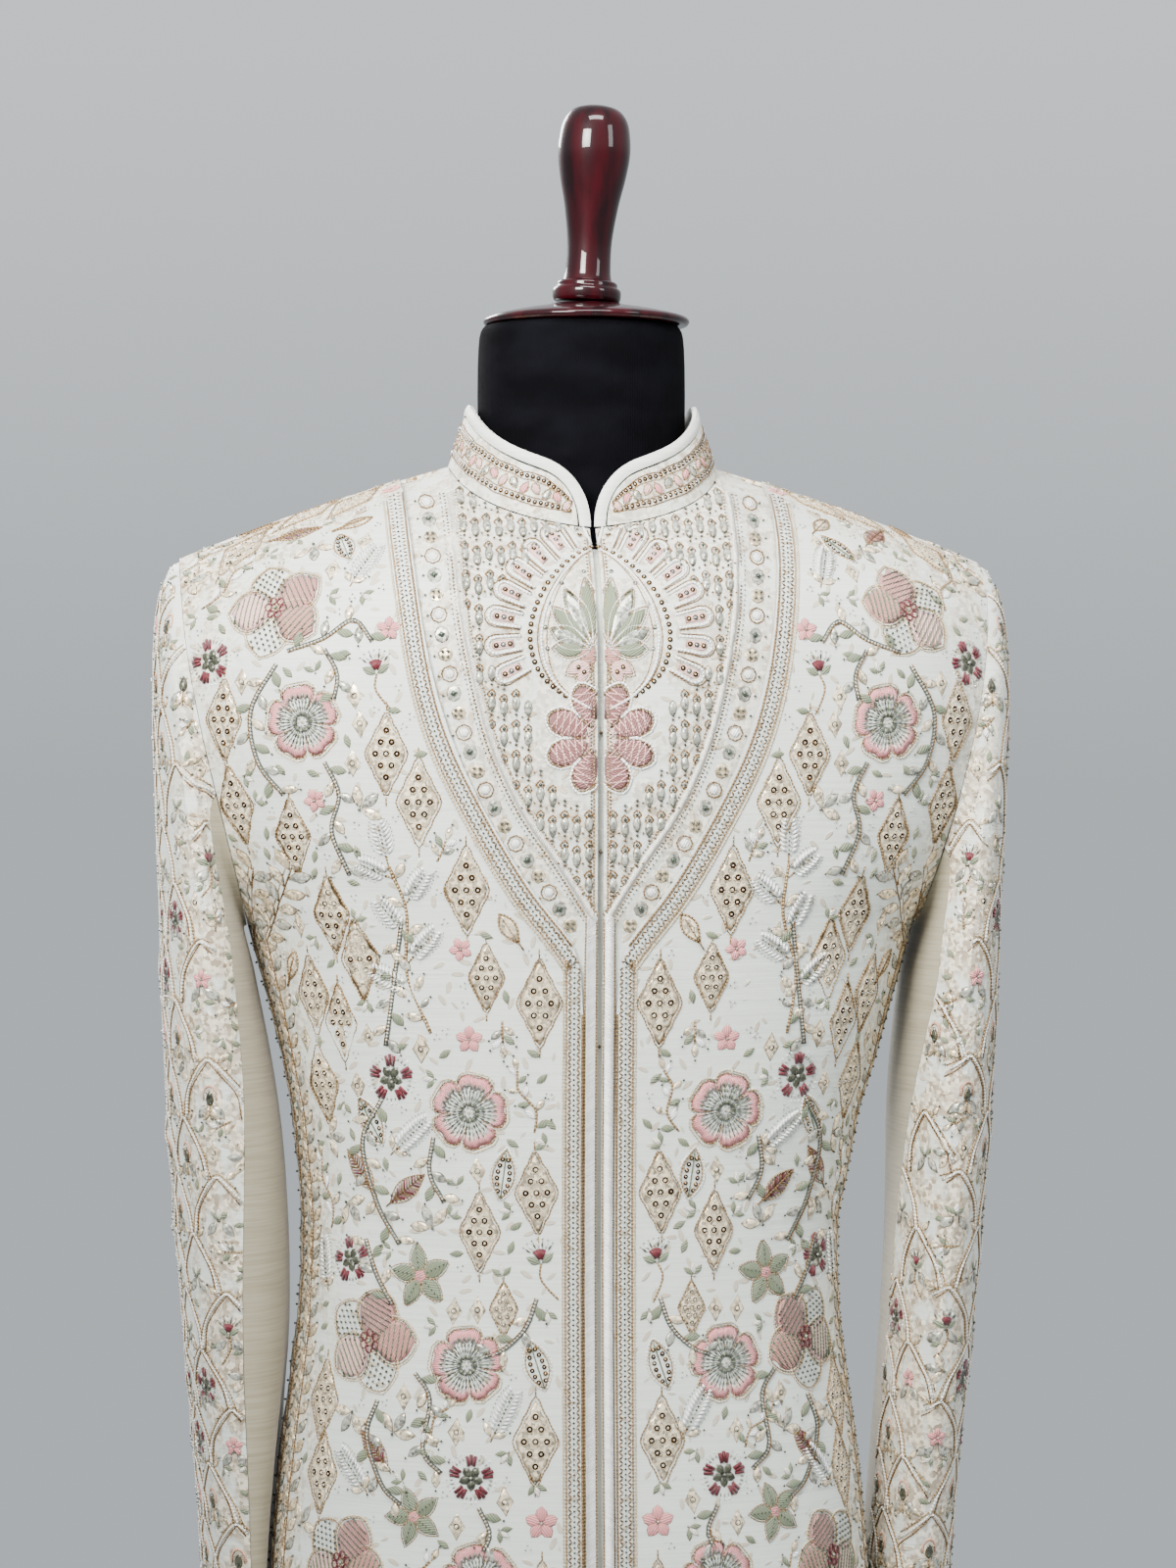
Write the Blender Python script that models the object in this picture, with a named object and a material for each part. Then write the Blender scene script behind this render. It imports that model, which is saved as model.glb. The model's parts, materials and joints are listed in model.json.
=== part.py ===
"""A knee-length sherwani coat, closed at the front, on a limbless dress form.

Units are metres. Z is up, the coat's front faces -Y and the origin is on the
floor, in the middle of the stand's base. Names say right and left as the
wearer would, so the right side is at -X.

Every cloth piece is a wall with an outer and an inner skin. The skins come
from one formula for the coat's surface, so pieces that lie over each other
are the same surface moved in or out.
"""
import math
from collections import namedtuple

import bmesh
import bpy
import numpy as np

# ------------------------------------------------------------ driving sizes
CLOTH = 0.0020              # outer cloth with its interlining
SEAM = 0.0004               # clear space between two sewn edges
NECK_SIDE_X = 0.0765        # where the collar seam meets the shoulder seam
NECK_SIDE_Z = 1.4530
TIP_X = 0.2290              # outer end of the shoulder seam
TIP_Z = 1.4000
UNDERARM_Z = 1.1900
HEM_Z = 0.4000
CUFF_Z = 0.7750
SIDE_HANG = 0.0070          # waist and skirt hang this far to the wearer's right
HANG_HIGH_Z = 1.1300        # nothing shifts above this height
HANG_LOW_Z = 1.0200
SHOULDER_CROWN = 0.0030     # how far the shoulder seam arches over a straight line
BACK_NECK_RISE = 0.0330     # the back of the neck stands higher than its sides
BACK_NECK_RISE_POWER = 1.5
SECTION_POWER = 2.2         # 2 is an ellipse, more is flatter at front and sides
ROLL_AT_NECK = 0.0830       # height over which the shoulder turns into the chest
ROLL_AT_TIP = 0.0750
ROLL_POWER_NECK = 1.27
ROLL_POWER_TIP = 2.0
ARMHOLE_HALF_DEPTH = 0.0660
FRONT_EDGE_X = 0.0017       # each front edge stands this far from the middle
PLACKET_HALF = 0.0090       # the outer front starts here, beside the raised band
BAND_EDGE_X = 0.0085
BAND_LEVEL = 0.0004         # the band's top stands this far above the coat surface
BIB_RECESS = 0.0028         # the inner front lies this deep under the outer front
BIB_LAP = 0.0120            # and reaches this far beneath its edge
VEE_POINT_Z = 1.1760
OUTER_EDGE_LIFT = 0.0010
BIB_STEP_START = 0.0040     # inside the vee, the bib begins to sink here
BIB_STEP_WIDTH = 0.0220
BIB_WIDENING = 3.0          # how soon the bib's edge leaves the plumb line for the vee
SLIT_TOP_Z = 0.6600         # side slits open below this height
SLIT_HALF_GAP = 0.0050
SLIT_OPENING_RATE = 1.6     # the slit is at its full gap well above the hem
UNDERLAP_HALF = 0.0140
UNDERLAP_DEPTH = 0.0051
UNDERLAP_WALL = 0.0015
UNDERLAP_TOP_Z = 1.4060
UNDERLAP_END_Z = 0.6200
UNDERLAP_ROWS = 22
UNDERLAP_CROWDING = 1.6     # its rows crowd where the chest curves most

NECK_FRONT = 0.0735         # collar seam, in plan
NECK_BACK = 0.0660
NECK_POWER = 3.0
NECK_SAMPLES = 120
NECK_FRONT_CROWDING = 1.35
COLLAR_TOP_X = 0.0648       # collar's top edge, in plan
COLLAR_TOP_FRONT = 0.0675
COLLAR_TOP_BACK = 0.0640
COLLAR_HEIGHT = 0.0345      # with its binding
COLLAR_BACK_HEIGHT = 0.0370
COLLAR_CORNER = 0.0350      # length of the rounded front corner
COLLAR_CORNER_POWER = 2.2
COLLAR_CORNER_START = 0.015  # radians; the binding starts just above the neck seam
COLLAR_RISE = 2 * SEAM      # from the neck seam to the collar
COLLAR_END_HEIGHT = 0.0020  # the collar's cloth is at least this high at its two ends
COLLAR_LINING = 0.0010
BINDING_HALF_WIDTH = 0.0032
BINDING_HALF_THICKNESS = 0.0017
BINDING_SIDES = 6
BINDING_AIM = 0.0010        # a second line this far in shows which way is inwards
COLLAR_EDGE_X = 0.0009      # the collar's two ends almost meet
COLLAR_ROWS = 3
COLLAR_LINING_ROWS = 2
COLLAR_SAMPLES = 30
COLLAR_CORNER_STEPS = 8
COLLAR_BACK_STEPS = 15

FORM_GAP_BACK = 0.0070      # form below the coat surface at the back
FORM_GAP_FRONT = 0.0076     # and below the layered front
FORM_GAP_CHEST = 0.0009     # the form stands this much further back under the collar
CHEST_LOW_Z = 1.3300
CHEST_HIGH_Z = 1.3700
GAP_CHANGE_Y = 0.0080       # the gap changes from the front's to the back's from here
GAP_CHANGE_WIDTH = 0.0300
FORM_ARM_CUT = 0.0080       # the form's arm plates stand inside the armholes
FORM_ARM_BLEND = 0.0200     # height over which that cut fades above the shoulder tip
FORM_SIDE_CROWDING = 1.05
FORM_FOOT_SCALE = 0.985     # the bottom edge is drawn in a little
FORM_BOTTOM_Z = 0.8000
FORM_NECK_X = 0.0595
FORM_NECK_Y = 0.0575
FORM_NECK_TOP_Z = 1.5335
CAP_RADIUS = 0.0590
CAP_RIM = 0.0045
CAP_RISE = 0.0125
CAP_EDGE_ROUND = 0.0008
CAP_FOOT_ROUND = 0.0030
CAP_STEPS = 6
CAP_SIDES = 28
FINIAL_SIDES = 20
CAP_X = 0.0030              # the cap sits a little off the middle of the neck
FINIAL_LEAN = math.radians(3.0)
POLE_RADIUS = 0.0150
BASE_RADIUS = 0.2150
BASE_HEIGHT = 0.0180
BASE_ROUND = 0.0050
BASE_FOOT_ROUND = 0.0010
BASE_ROUND_STEPS = 3
BASE_SIDES = 40
POLE_SIDES = 24

UPPER_ROWS = 10             # from the shoulder to the underarm
LOWER_ROWS = 14             # from the underarm to the hem
OUTER_FRONT_COLUMNS = 8
NECK_FRONT_COLUMNS = 9
NECK_BACK_COLUMNS = 8
BACK_SHOULDER_COLUMNS = 5
SLEEVE_HEAD_RINGS = 7
SLEEVE_RINGS = 11
SLEEVE_UPPER_COLUMNS = 12   # the upper piece's share of the sleeve's 20 columns
SLEEVE_FRONT_SEAM = {"right": 6, "left": 7}
SLEEVE_SEAM_GAP = 1.3 * SEAM
SLEEVE_HEAD_CROWDING = 1.3
SLEEVE_CROWN_REACH = 0.0800  # how boldly the sleeve head leaves the shoulder's tip
SLEEVE_UNDERARM_REACH = 0.0120
SLEEVE_UNDERARM_DROP = 0.3
SETTLE_STEPS = 12           # rounds in which x and z are settled against each other
BISECTION_STEPS = 40
SHARP_ANGLE = math.radians(40)
BISECTION_REACH = 0.1200    # the neck seam lies within this height of the neck's side

CoatSection = namedtuple("CoatSection", "height half_width front_depth back_depth")
COAT_SECTIONS = (
    CoatSection(0.400, 0.2000, 0.150, 0.152),
    CoatSection(0.600, 0.1860, 0.137, 0.140),
    CoatSection(0.780, 0.1730, 0.125, 0.129),
    CoatSection(0.880, 0.1675, 0.118, 0.122),
    CoatSection(0.960, 0.1560, 0.112, 0.111),
    CoatSection(1.020, 0.1505, 0.110, 0.103),
    CoatSection(1.085, 0.1615, 0.113, 0.102),
    CoatSection(1.155, 0.1800, 0.118, 0.106),
    CoatSection(1.190, 0.1900, 0.121, 0.109),
    CoatSection(1.290, 0.1900, 0.124, 0.113),
    CoatSection(1.360, 0.1900, 0.120, 0.111),
    CoatSection(1.460, 0.1900, 0.114, 0.106),
)

ArmholePoint = namedtuple("ArmholePoint", "height reach")
ARMHOLE = (
    ArmholePoint(1.190, 0.1900),
    ArmholePoint(1.216, 0.1960),
    ArmholePoint(1.250, 0.2045),
    ArmholePoint(1.290, 0.2145),
    ArmholePoint(1.324, 0.2215),
    ArmholePoint(1.348, 0.2255),
    ArmholePoint(1.380, 0.2282),
    ArmholePoint(1.400, 0.2290),
)

VeePoint = namedtuple("VeePoint", "height reach")
VEE = (
    VeePoint(1.176, 0.0090),
    VeePoint(1.190, 0.0190),
    VeePoint(1.217, 0.0400),
    VeePoint(1.255, 0.0625),
    VeePoint(1.295, 0.0820),
    VeePoint(1.337, 0.0936),
    VeePoint(1.395, 0.1010),
    VeePoint(1.445, 0.1040),
)

SleeveSection = namedtuple("SleeveSection", "height outer_x right_inner_x left_inner_x"
                           " centre_y half_depth right_turn left_turn")
SLEEVE_SECTIONS = (         # the turns, in degrees, carry the seams round to the inside
    SleeveSection(0.775, 0.2140, 0.1660, 0.1640, 0.030, 0.056, -12, 44),
    SleeveSection(0.823, 0.2165, 0.1660, 0.1665, 0.026, 0.058, -12, 44),
    SleeveSection(0.880, 0.2195, 0.1655, 0.1710, 0.021, 0.062, -14, 42),
    SleeveSection(0.950, 0.2260, 0.1655, 0.1755, 0.015, 0.067, -14, 40),
    SleeveSection(1.030, 0.2320, 0.1665, 0.1790, 0.010, 0.071, -8, 34),
    SleeveSection(1.100, 0.2370, 0.1730, 0.1790, 0.007, 0.075, 4, 14),
    SleeveSection(1.160, 0.2390, 0.1850, 0.1860, 0.005, 0.078, 12, 0),
)
SLEEVE_TO_BODY = 0.0030     # a sleeve hangs at least this far from the coat

FinialPoint = namedtuple("FinialPoint", "height radius")
FINIAL = (
    FinialPoint(0.0000, 0.0175),
    FinialPoint(0.0020, 0.0190),
    FinialPoint(0.0080, 0.0192),
    FinialPoint(0.0110, 0.0175),
    FinialPoint(0.0125, 0.0140),
    FinialPoint(0.0180, 0.0132),
    FinialPoint(0.0350, 0.0130),
    FinialPoint(0.0550, 0.0155),
    FinialPoint(0.0720, 0.0190),
    FinialPoint(0.0860, 0.0210),
    FinialPoint(0.0990, 0.0198),
    FinialPoint(0.1080, 0.0160),
    FinialPoint(0.1130, 0.0093),
)

# ------------------------------------------------------------ small helpers


def clear_scene():
    for obj in list(bpy.data.objects):
        bpy.data.objects.remove(obj, do_unlink=True)


def make_material(name, color, roughness, metallic=0.0):
    material = bpy.data.materials.new(name)
    material.use_nodes = True
    shader = material.node_tree.nodes["Principled BSDF"]
    shader.inputs["Base Color"].default_value = (*color, 1.0)
    shader.inputs["Roughness"].default_value = roughness
    shader.inputs["Metallic"].default_value = metallic
    return material


def make_object(name, vertices, faces, material):
    """Make one closed, outward-facing, smooth-shaded object."""
    mesh = bpy.data.meshes.new(name)
    mesh.from_pydata([tuple(point) for point in vertices], [], faces)
    shape = bmesh.new()
    shape.from_mesh(mesh)
    bmesh.ops.recalc_face_normals(shape, faces=shape.faces)
    shape.to_mesh(mesh)
    shape.free()
    mesh.materials.append(material)
    mesh.shade_smooth()
    mesh.set_sharp_from_angle(angle=SHARP_ANGLE)
    obj = bpy.data.objects.new(name, mesh)
    bpy.context.scene.collection.objects.link(obj)
    return obj


def blend(low, high, share):
    return low + (high - low) * share


def soft_step(share):
    share = min(max(share, 0.0), 1.0)
    return share * share * (3.0 - 2.0 * share)


def unit(vector):
    return vector / np.linalg.norm(vector)


def smooth_reader(table, column):
    """Give a function that reads a table's column with smooth bends between rows."""
    keys = np.array([row[0] for row in table])
    values = np.array([getattr(row, column) for row in table])
    slopes = np.gradient(values, keys)

    def read(key):
        key = min(max(key, keys[0]), keys[-1])
        row = min(int(np.searchsorted(keys, key, side="right")) - 1, len(keys) - 2)
        step = keys[row + 1] - keys[row]
        t = (key - keys[row]) / step
        low_bend = (t ** 3 - 2 * t ** 2 + t) * step * slopes[row]
        high_bend = (t ** 3 - t ** 2) * step * slopes[row + 1]
        rise = 3 * t ** 2 - 2 * t ** 3
        return float(blend(values[row], values[row + 1], rise) + low_bend + high_bend)

    return read


def points_at_shares(points, shares):
    """Pick points along a dense line at shares of its length."""
    points = np.array(points)
    steps = np.linalg.norm(np.diff(points, axis=0), axis=1)
    length = np.concatenate([[0.0], np.cumsum(steps)])
    wanted = np.array(shares) * length[-1]
    return np.stack([np.interp(wanted, length, points[:, axis]) for axis in range(3)], axis=1)


def grid_normals(grid, outside, wrap=False):
    """Normals of a grid of points, turned to face away from the point `outside` faces."""
    down = np.gradient(grid, axis=0)
    if wrap:
        across = (np.roll(grid, -1, axis=1) - np.roll(grid, 1, axis=1)) / 2
    else:
        across = np.gradient(grid, axis=1)
    normals = np.cross(across, down)
    normals /= np.linalg.norm(normals, axis=2, keepdims=True)
    if np.sum(normals * outside) < 0:
        normals = -normals
    return normals


def flatten_normals(normals, rows, columns, axis):
    """Drop one axis from an edge's normals, so that the edge's face is a flat seam."""
    normals[rows, columns, axis] = 0.0
    lengths = np.linalg.norm(normals[rows, columns], axis=-1, keepdims=True)
    normals[rows, columns] /= lengths


def wall(name, outer, inner, material):
    """Close a pair of point grids into one wall."""
    rows, columns = outer.shape[:2]
    count = rows * columns
    vertices = np.concatenate([outer.reshape(count, 3), inner.reshape(count, 3)])

    def at(row, column):
        return row * columns + column

    faces = []
    for row in range(rows - 1):
        for column in range(columns - 1):
            quad = (at(row, column), at(row, column + 1),
                    at(row + 1, column + 1), at(row + 1, column))
            faces.append(quad)
            faces.append(tuple(index + count for index in reversed(quad)))
    for row in range(rows - 1):
        for column in (0, columns - 1):
            first, second = at(row, column), at(row + 1, column)
            faces.append((first, second, second + count, first + count))
    for column in range(columns - 1):
        for row in (0, rows - 1):
            first, second = at(row, column), at(row, column + 1)
            faces.append((first, second, second + count, first + count))
    return make_object(name, vertices, faces, material)


def stacked_rings(name, rings, material):
    """Close a stack of equal rings with a flat face at each end."""
    sides = len(rings[0])
    vertices = np.concatenate(rings)
    faces = []
    for level in range(len(rings) - 1):
        for side in range(sides):
            after = (side + 1) % sides
            low, high = level * sides, (level + 1) * sides
            faces.append((low + side, low + after, high + after, high + side))
    faces.append(tuple(range(sides)))
    last = (len(rings) - 1) * sides
    faces.append(tuple(last + side for side in reversed(range(sides))))
    return make_object(name, vertices, faces, material)


def turned(name, profile, sides, base, material, lean=0.0):
    """Turn a profile of (height, radius) pairs about a line that leans towards +X."""
    rings = []
    for height, radius in profile:
        ring = []
        for side in range(sides):
            angle = math.tau * side / sides
            across = radius * math.cos(angle)
            ring.append((base[0] + across + height * math.tan(lean),
                         radius * math.sin(angle), base[1] + height))
        rings.append(np.array(ring))
    return stacked_rings(name, rings, material)


# ------------------------------------------------------------ the coat's surface
FRONT, BACK = -1, 1
SIDES = {"right": -1, "left": 1}

body_half_width = smooth_reader(COAT_SECTIONS, "half_width")
front_depth = smooth_reader(COAT_SECTIONS, "front_depth")
back_depth = smooth_reader(COAT_SECTIONS, "back_depth")
armhole_reach = smooth_reader(ARMHOLE, "reach")
vee_reach = smooth_reader(VEE, "reach")


def full_depth(z, facing):
    return front_depth(z) if facing == FRONT else back_depth(z)


def ridge_height(x, facing):
    """Height of the shoulder line over x, carried on over the neck opening."""
    reach = abs(x)
    along = max(reach - NECK_SIDE_X, 0.0) / (TIP_X - NECK_SIDE_X)
    height = blend(NECK_SIDE_Z, TIP_Z, along)
    height += SHOULDER_CROWN * math.sin(math.pi * min(along, 1.0))
    if facing == BACK and reach < NECK_SIDE_X:
        height += BACK_NECK_RISE * (1.0 - (reach / NECK_SIDE_X) ** 2) ** BACK_NECK_RISE_POWER
    return height


def shoulder_roll(x, z, facing):
    """Share of the full depth at (x, z): 0 on the shoulder line, 1 on the chest."""
    share = min(abs(x) / TIP_X, 1.0)
    fall = blend(ROLL_AT_NECK, ROLL_AT_TIP, share)
    power = blend(ROLL_POWER_NECK, ROLL_POWER_TIP, share)
    drop = min(max((ridge_height(x, facing) - z) / fall, 0.0), 1.0)
    return (1.0 - (1.0 - drop) ** power) ** (1.0 / power)


def half_width(z, facing):
    """Half width of the section; above the underarm it is set by the armhole."""
    if z <= UNDERARM_Z:
        return body_half_width(z)
    z = min(z, TIP_Z - 0.001)
    reach = armhole_reach(z)
    middle = (UNDERARM_Z + TIP_Z) / 2
    off_middle = (z - middle) / (TIP_Z - middle)
    edge_depth = ARMHOLE_HALF_DEPTH * math.sqrt(1.0 - off_middle ** 2)
    share = edge_depth / (full_depth(z, facing) * shoulder_roll(reach, z, facing))
    return reach / (1.0 - share ** SECTION_POWER) ** (1.0 / SECTION_POWER)


def depth_at(x, z, facing):
    share = min(abs(x) / half_width(z, facing), 1.0)
    round_off = (1.0 - share ** SECTION_POWER) ** (1.0 / SECTION_POWER)
    return full_depth(z, facing) * shoulder_roll(x, z, facing) * round_off


def coat_point(x, z, facing):
    return np.array([x, facing * depth_at(x, z, facing), z])


def height_at_depth(x, depth, facing):
    """Height at which the surface over x is this deep."""
    low, high = NECK_SIDE_Z - BISECTION_REACH, ridge_height(x, facing)
    for _ in range(BISECTION_STEPS):
        middle = (low + high) / 2
        if depth_at(x, middle, facing) > depth:
            low = middle
        else:
            high = middle
    return (low + high) / 2


def spread_between(inner_x, outer_x, width, share):
    """x at a share of the way round the section from inner_x to outer_x."""
    power = SECTION_POWER / 2
    first = math.asin(min(inner_x / width, 1.0) ** power)
    last = math.asin(min(outer_x / width, 1.0) ** power)
    return width * math.sin(blend(first, last, share)) ** (1.0 / power)


def neck_curve(facing, start_x, columns, crowding):
    """The collar seam from the middle to the shoulder seam, on the coat's surface."""
    depth = NECK_FRONT if facing == FRONT else NECK_BACK
    power = 2.0 / NECK_POWER
    start = math.asin((start_x / NECK_SIDE_X) ** (1.0 / power))
    dense = []
    for angle in np.linspace(start, math.pi / 2, NECK_SAMPLES):
        x = NECK_SIDE_X * math.sin(angle) ** power
        y = depth * max(math.cos(angle), 0.0) ** power
        dense.append((x, facing * y, height_at_depth(x, y, facing)))
    shares = [(column / columns) ** crowding for column in range(columns + 1)]
    return points_at_shares(dense, shares)


FRONT_NECK = neck_curve(FRONT, FRONT_EDGE_X, NECK_FRONT_COLUMNS, NECK_FRONT_CROWDING)
BACK_NECK = neck_curve(BACK, SEAM / 2, NECK_BACK_COLUMNS, 1.0)


def upper_share(row):
    """Rows crowd at the shoulder and at the underarm."""
    return (1.0 - math.cos(math.pi * row / UPPER_ROWS)) / 2


def lower_height(row):
    """The first row below the underarm is at the point of the vee."""
    if row == 1:
        return VEE_POINT_Z
    return blend(VEE_POINT_Z, HEM_Z, (row - 1) / (LOWER_ROWS - 1))


def slit_gap(z):
    return SLIT_HALF_GAP * soft_step((SLIT_TOP_Z - z) / (SLIT_TOP_Z - HEM_Z) * SLIT_OPENING_RATE)


def side_x(z, facing):
    """x of the side seam, drawn back from the middle of the side where the slit opens."""
    width = half_width(z, facing)
    share = slit_gap(z) / full_depth(z, facing)
    return width * (1.0 - share ** SECTION_POWER) ** (1.0 / SECTION_POWER)


def outer_front_grid():
    """The outer front, from the vee and the placket to the armhole and the side seam."""
    rows = []
    for row in range(UPPER_ROWS + 1):
        share = upper_share(row)
        points = []
        for column in range(OUTER_FRONT_COLUMNS + 1):
            across = column / OUTER_FRONT_COLUMNS
            z = blend(TIP_Z, UNDERARM_Z, share)
            for _ in range(SETTLE_STEPS):
                width = half_width(z, FRONT)
                x = spread_between(vee_reach(z), armhole_reach(z), width, across)
                z = blend(ridge_height(x, FRONT), UNDERARM_Z, share)
            points.append(coat_point(x, z, FRONT))
        rows.append(points)
    for row in range(1, LOWER_ROWS + 1):
        z = lower_height(row)
        width = half_width(z, FRONT)
        points = []
        for column in range(OUTER_FRONT_COLUMNS + 1):
            across = column / OUTER_FRONT_COLUMNS
            x = spread_between(vee_reach(z), side_x(z, FRONT), width, across)
            points.append(coat_point(x, z, FRONT))
        rows.append(points)
    return np.array(rows)


def back_grid():
    """Half the back, from the middle seam to the armhole and the side seam."""
    top = list(BACK_NECK)
    for column in range(1, BACK_SHOULDER_COLUMNS + 1):
        x = blend(NECK_SIDE_X, TIP_X, column / BACK_SHOULDER_COLUMNS)
        top.append(np.array([x, 0.0, ridge_height(x, BACK)]))
    turn = [column / (len(top) - 1) for column in range(len(top))]
    rows = [top]
    for row in range(1, UPPER_ROWS + 1):
        share = upper_share(row)
        points = []
        for column, start in enumerate(top):
            z = blend(start[2], UNDERARM_Z, share)
            width = half_width(z, BACK)
            even = spread_between(SEAM / 2, armhole_reach(z), width, turn[column])
            plumb = start[0] / TIP_X * armhole_reach(z)
            points.append(coat_point(blend(plumb, even, share), z, BACK))
        rows.append(points)
    for row in range(1, LOWER_ROWS + 1):
        z = lower_height(row)
        width = half_width(z, BACK)
        rows.append([coat_point(spread_between(SEAM / 2, side_x(z, BACK), width, share), z, BACK)
                     for share in turn])
    return np.array(rows)


def inner_front_grid():
    """The bib inside the vee, which runs on down the front edge as the placket band."""
    top = list(FRONT_NECK)
    end_x = vee_reach(NECK_SIDE_Z) + BIB_LAP
    for share in (0.5, 1.0):
        x = blend(NECK_SIDE_X, end_x, share)
        top.append(np.array([x, 0.0, ridge_height(x, FRONT)]))
    spread = [(point[0] - FRONT_EDGE_X) / (end_x - FRONT_EDGE_X) for point in top]
    rows = [top]
    for row in range(1, UPPER_ROWS + 1):
        share = upper_share(row)
        points = []
        for column, start in enumerate(top):
            z = blend(start[2], UNDERARM_Z, share)
            reach = blend(end_x, vee_reach(z) + BIB_LAP, min(1.0, BIB_WIDENING * share))
            x = blend(FRONT_EDGE_X, reach, spread[column])
            points.append(coat_point(x, z, FRONT))
        rows.append(points)
    for row in range(1, LOWER_ROWS + 1):
        z = lower_height(row)
        reach = PLACKET_HALF + BIB_LAP
        rows.append([coat_point(blend(FRONT_EDGE_X, reach, share), z, FRONT)
                     for share in spread])
    return np.array(rows)


def mirrored(grid, side):
    """The same grid on the wearer's left (+1, at +X) or right (-1)."""
    return grid * np.array([side, 1.0, 1.0])


def hang_scale(z, side):
    """Widening of a side of the body, which is over 1 on the side that it hangs to."""
    hang = soft_step((HANG_HIGH_Z - z) / (HANG_HIGH_Z - HANG_LOW_Z))
    return 1.0 - side * SIDE_HANG * hang / half_width(z, FRONT)


def body_side(grid, side):
    """Half the coat's body on one side, with that side's hang."""
    placed = mirrored(grid, side)
    for point in placed.reshape(-1, 3):
        point[0] *= hang_scale(point[2], side)
    return placed


# ------------------------------------------------------------ the coat's pieces


def front_wall(material, side, label):
    grid = outer_front_grid()
    normals = grid_normals(grid, np.array([0.2, -1.0, 0.2]))
    flatten_normals(normals, 0, slice(None), 1)
    flatten_normals(normals, slice(UPPER_ROWS, None), -1, 1)
    grid[:, :, 1] -= SEAM / 2
    outer = grid.copy()
    outer[:, 0] += normals[:, 0] * OUTER_EDGE_LIFT
    inner = grid - normals * CLOTH
    inner[:, 0] += normals[:, 0] * OUTER_EDGE_LIFT / 2
    wall(f"front_outer_{label}", body_side(outer, side), body_side(inner, side), material)
    return grid[: UPPER_ROWS + 1, -1], normals[: UPPER_ROWS + 1, -1], grid[: UPPER_ROWS + 1, -2]


def back_wall(material, side, label):
    grid = back_grid()
    normals = grid_normals(grid, np.array([0.2, 1.0, 0.2]))
    flatten_normals(normals, 0, slice(NECK_BACK_COLUMNS, None), 1)
    flatten_normals(normals, slice(UPPER_ROWS, None), -1, 1)
    flatten_normals(normals, slice(None), 0, 0)
    grid[:, :, 1] += SEAM / 2
    wall(f"back_{label}", body_side(grid, side), body_side(grid - normals * CLOTH, side), material)
    return grid[: UPPER_ROWS + 1, -1], normals[: UPPER_ROWS + 1, -1], grid[: UPPER_ROWS + 1, -2]


def inner_front_wall(material, side, label):
    grid = inner_front_grid()
    normals = grid_normals(grid, np.array([0.2, -1.0, 0.2]))
    flatten_normals(normals, 0, slice(NECK_FRONT_COLUMNS, None), 1)
    flatten_normals(normals, slice(None), 0, 0)
    grid[:, :, 1] -= SEAM / 2
    outer, inner = grid.copy(), grid.copy()
    for row in range(grid.shape[0]):
        for column in range(grid.shape[1]):
            x, _, z = grid[row, column]
            under = 1.0 - soft_step((vee_reach(z) - x - BIB_STEP_START) / BIB_STEP_WIDTH)
            recess = BIB_RECESS * under
            level = -recess
            if x < BAND_EDGE_X and row > 0:
                level = BAND_LEVEL if column else -BAND_LEVEL
            outer[row, column] += normals[row, column] * level
            inner[row, column] -= normals[row, column] * (recess + CLOTH)
    wall(f"front_inner_{label}", body_side(outer, side), body_side(inner, side), material)


def underlap_wall(material):
    rows = []
    for row in range(UNDERLAP_ROWS + 1):
        z = blend(UNDERLAP_TOP_Z, UNDERLAP_END_Z, (row / UNDERLAP_ROWS) ** UNDERLAP_CROWDING)
        rows.append([coat_point(x, z, FRONT) for x in (-UNDERLAP_HALF, 0.0, UNDERLAP_HALF)])
    grid = np.array(rows)
    normals = grid_normals(grid, np.array([0.0, -1.0, 0.0]))
    outer = grid - normals * UNDERLAP_DEPTH
    inner = outer - normals * UNDERLAP_WALL
    wall("placket_underlap", outer, inner, material)


# ------------------------------------------------------------ sleeves
sleeve_outer_x = smooth_reader(SLEEVE_SECTIONS, "outer_x")
sleeve_inner_x = {"right": smooth_reader(SLEEVE_SECTIONS, "right_inner_x"),
                  "left": smooth_reader(SLEEVE_SECTIONS, "left_inner_x")}
sleeve_turn = {"right": smooth_reader(SLEEVE_SECTIONS, "right_turn"),
               "left": smooth_reader(SLEEVE_SECTIONS, "left_turn")}
sleeve_centre_y = smooth_reader(SLEEVE_SECTIONS, "centre_y")
sleeve_half_depth = smooth_reader(SLEEVE_SECTIONS, "half_depth")
SLEEVE_COLUMNS = 2 * UPPER_ROWS
SLEEVE_TOP_Z = SLEEVE_SECTIONS[-1].height


def body_edge_x(y, z, label):
    """x of the coat's side at depth y, or 0 where the section doesn't reach y."""
    facing = FRONT if y < 0 else BACK
    share = abs(y) / full_depth(z, facing)
    if share >= 1.0:
        return 0.0
    reach = half_width(z, facing) * (1.0 - share ** SECTION_POWER) ** (1.0 / SECTION_POWER)
    return reach * hang_scale(z, SIDES[label])


def sleeve_ring(z, label):
    """A sleeve section; column 0 is outermost, and the next ones go to the front."""
    centre_x = (sleeve_outer_x(z) + sleeve_inner_x[label](z)) / 2
    half_x = (sleeve_outer_x(z) - sleeve_inner_x[label](z)) / 2
    ring = []
    for column in range(SLEEVE_COLUMNS):
        angle = math.tau * column / SLEEVE_COLUMNS + math.radians(sleeve_turn[label](z))
        x = centre_x + half_x * math.cos(angle)
        y = sleeve_centre_y(z) - sleeve_half_depth(z) * math.sin(angle)
        x = max(x, body_edge_x(y, z, label) + SLEEVE_TO_BODY)
        ring.append((x, y, z))
    return np.array(ring)


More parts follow.
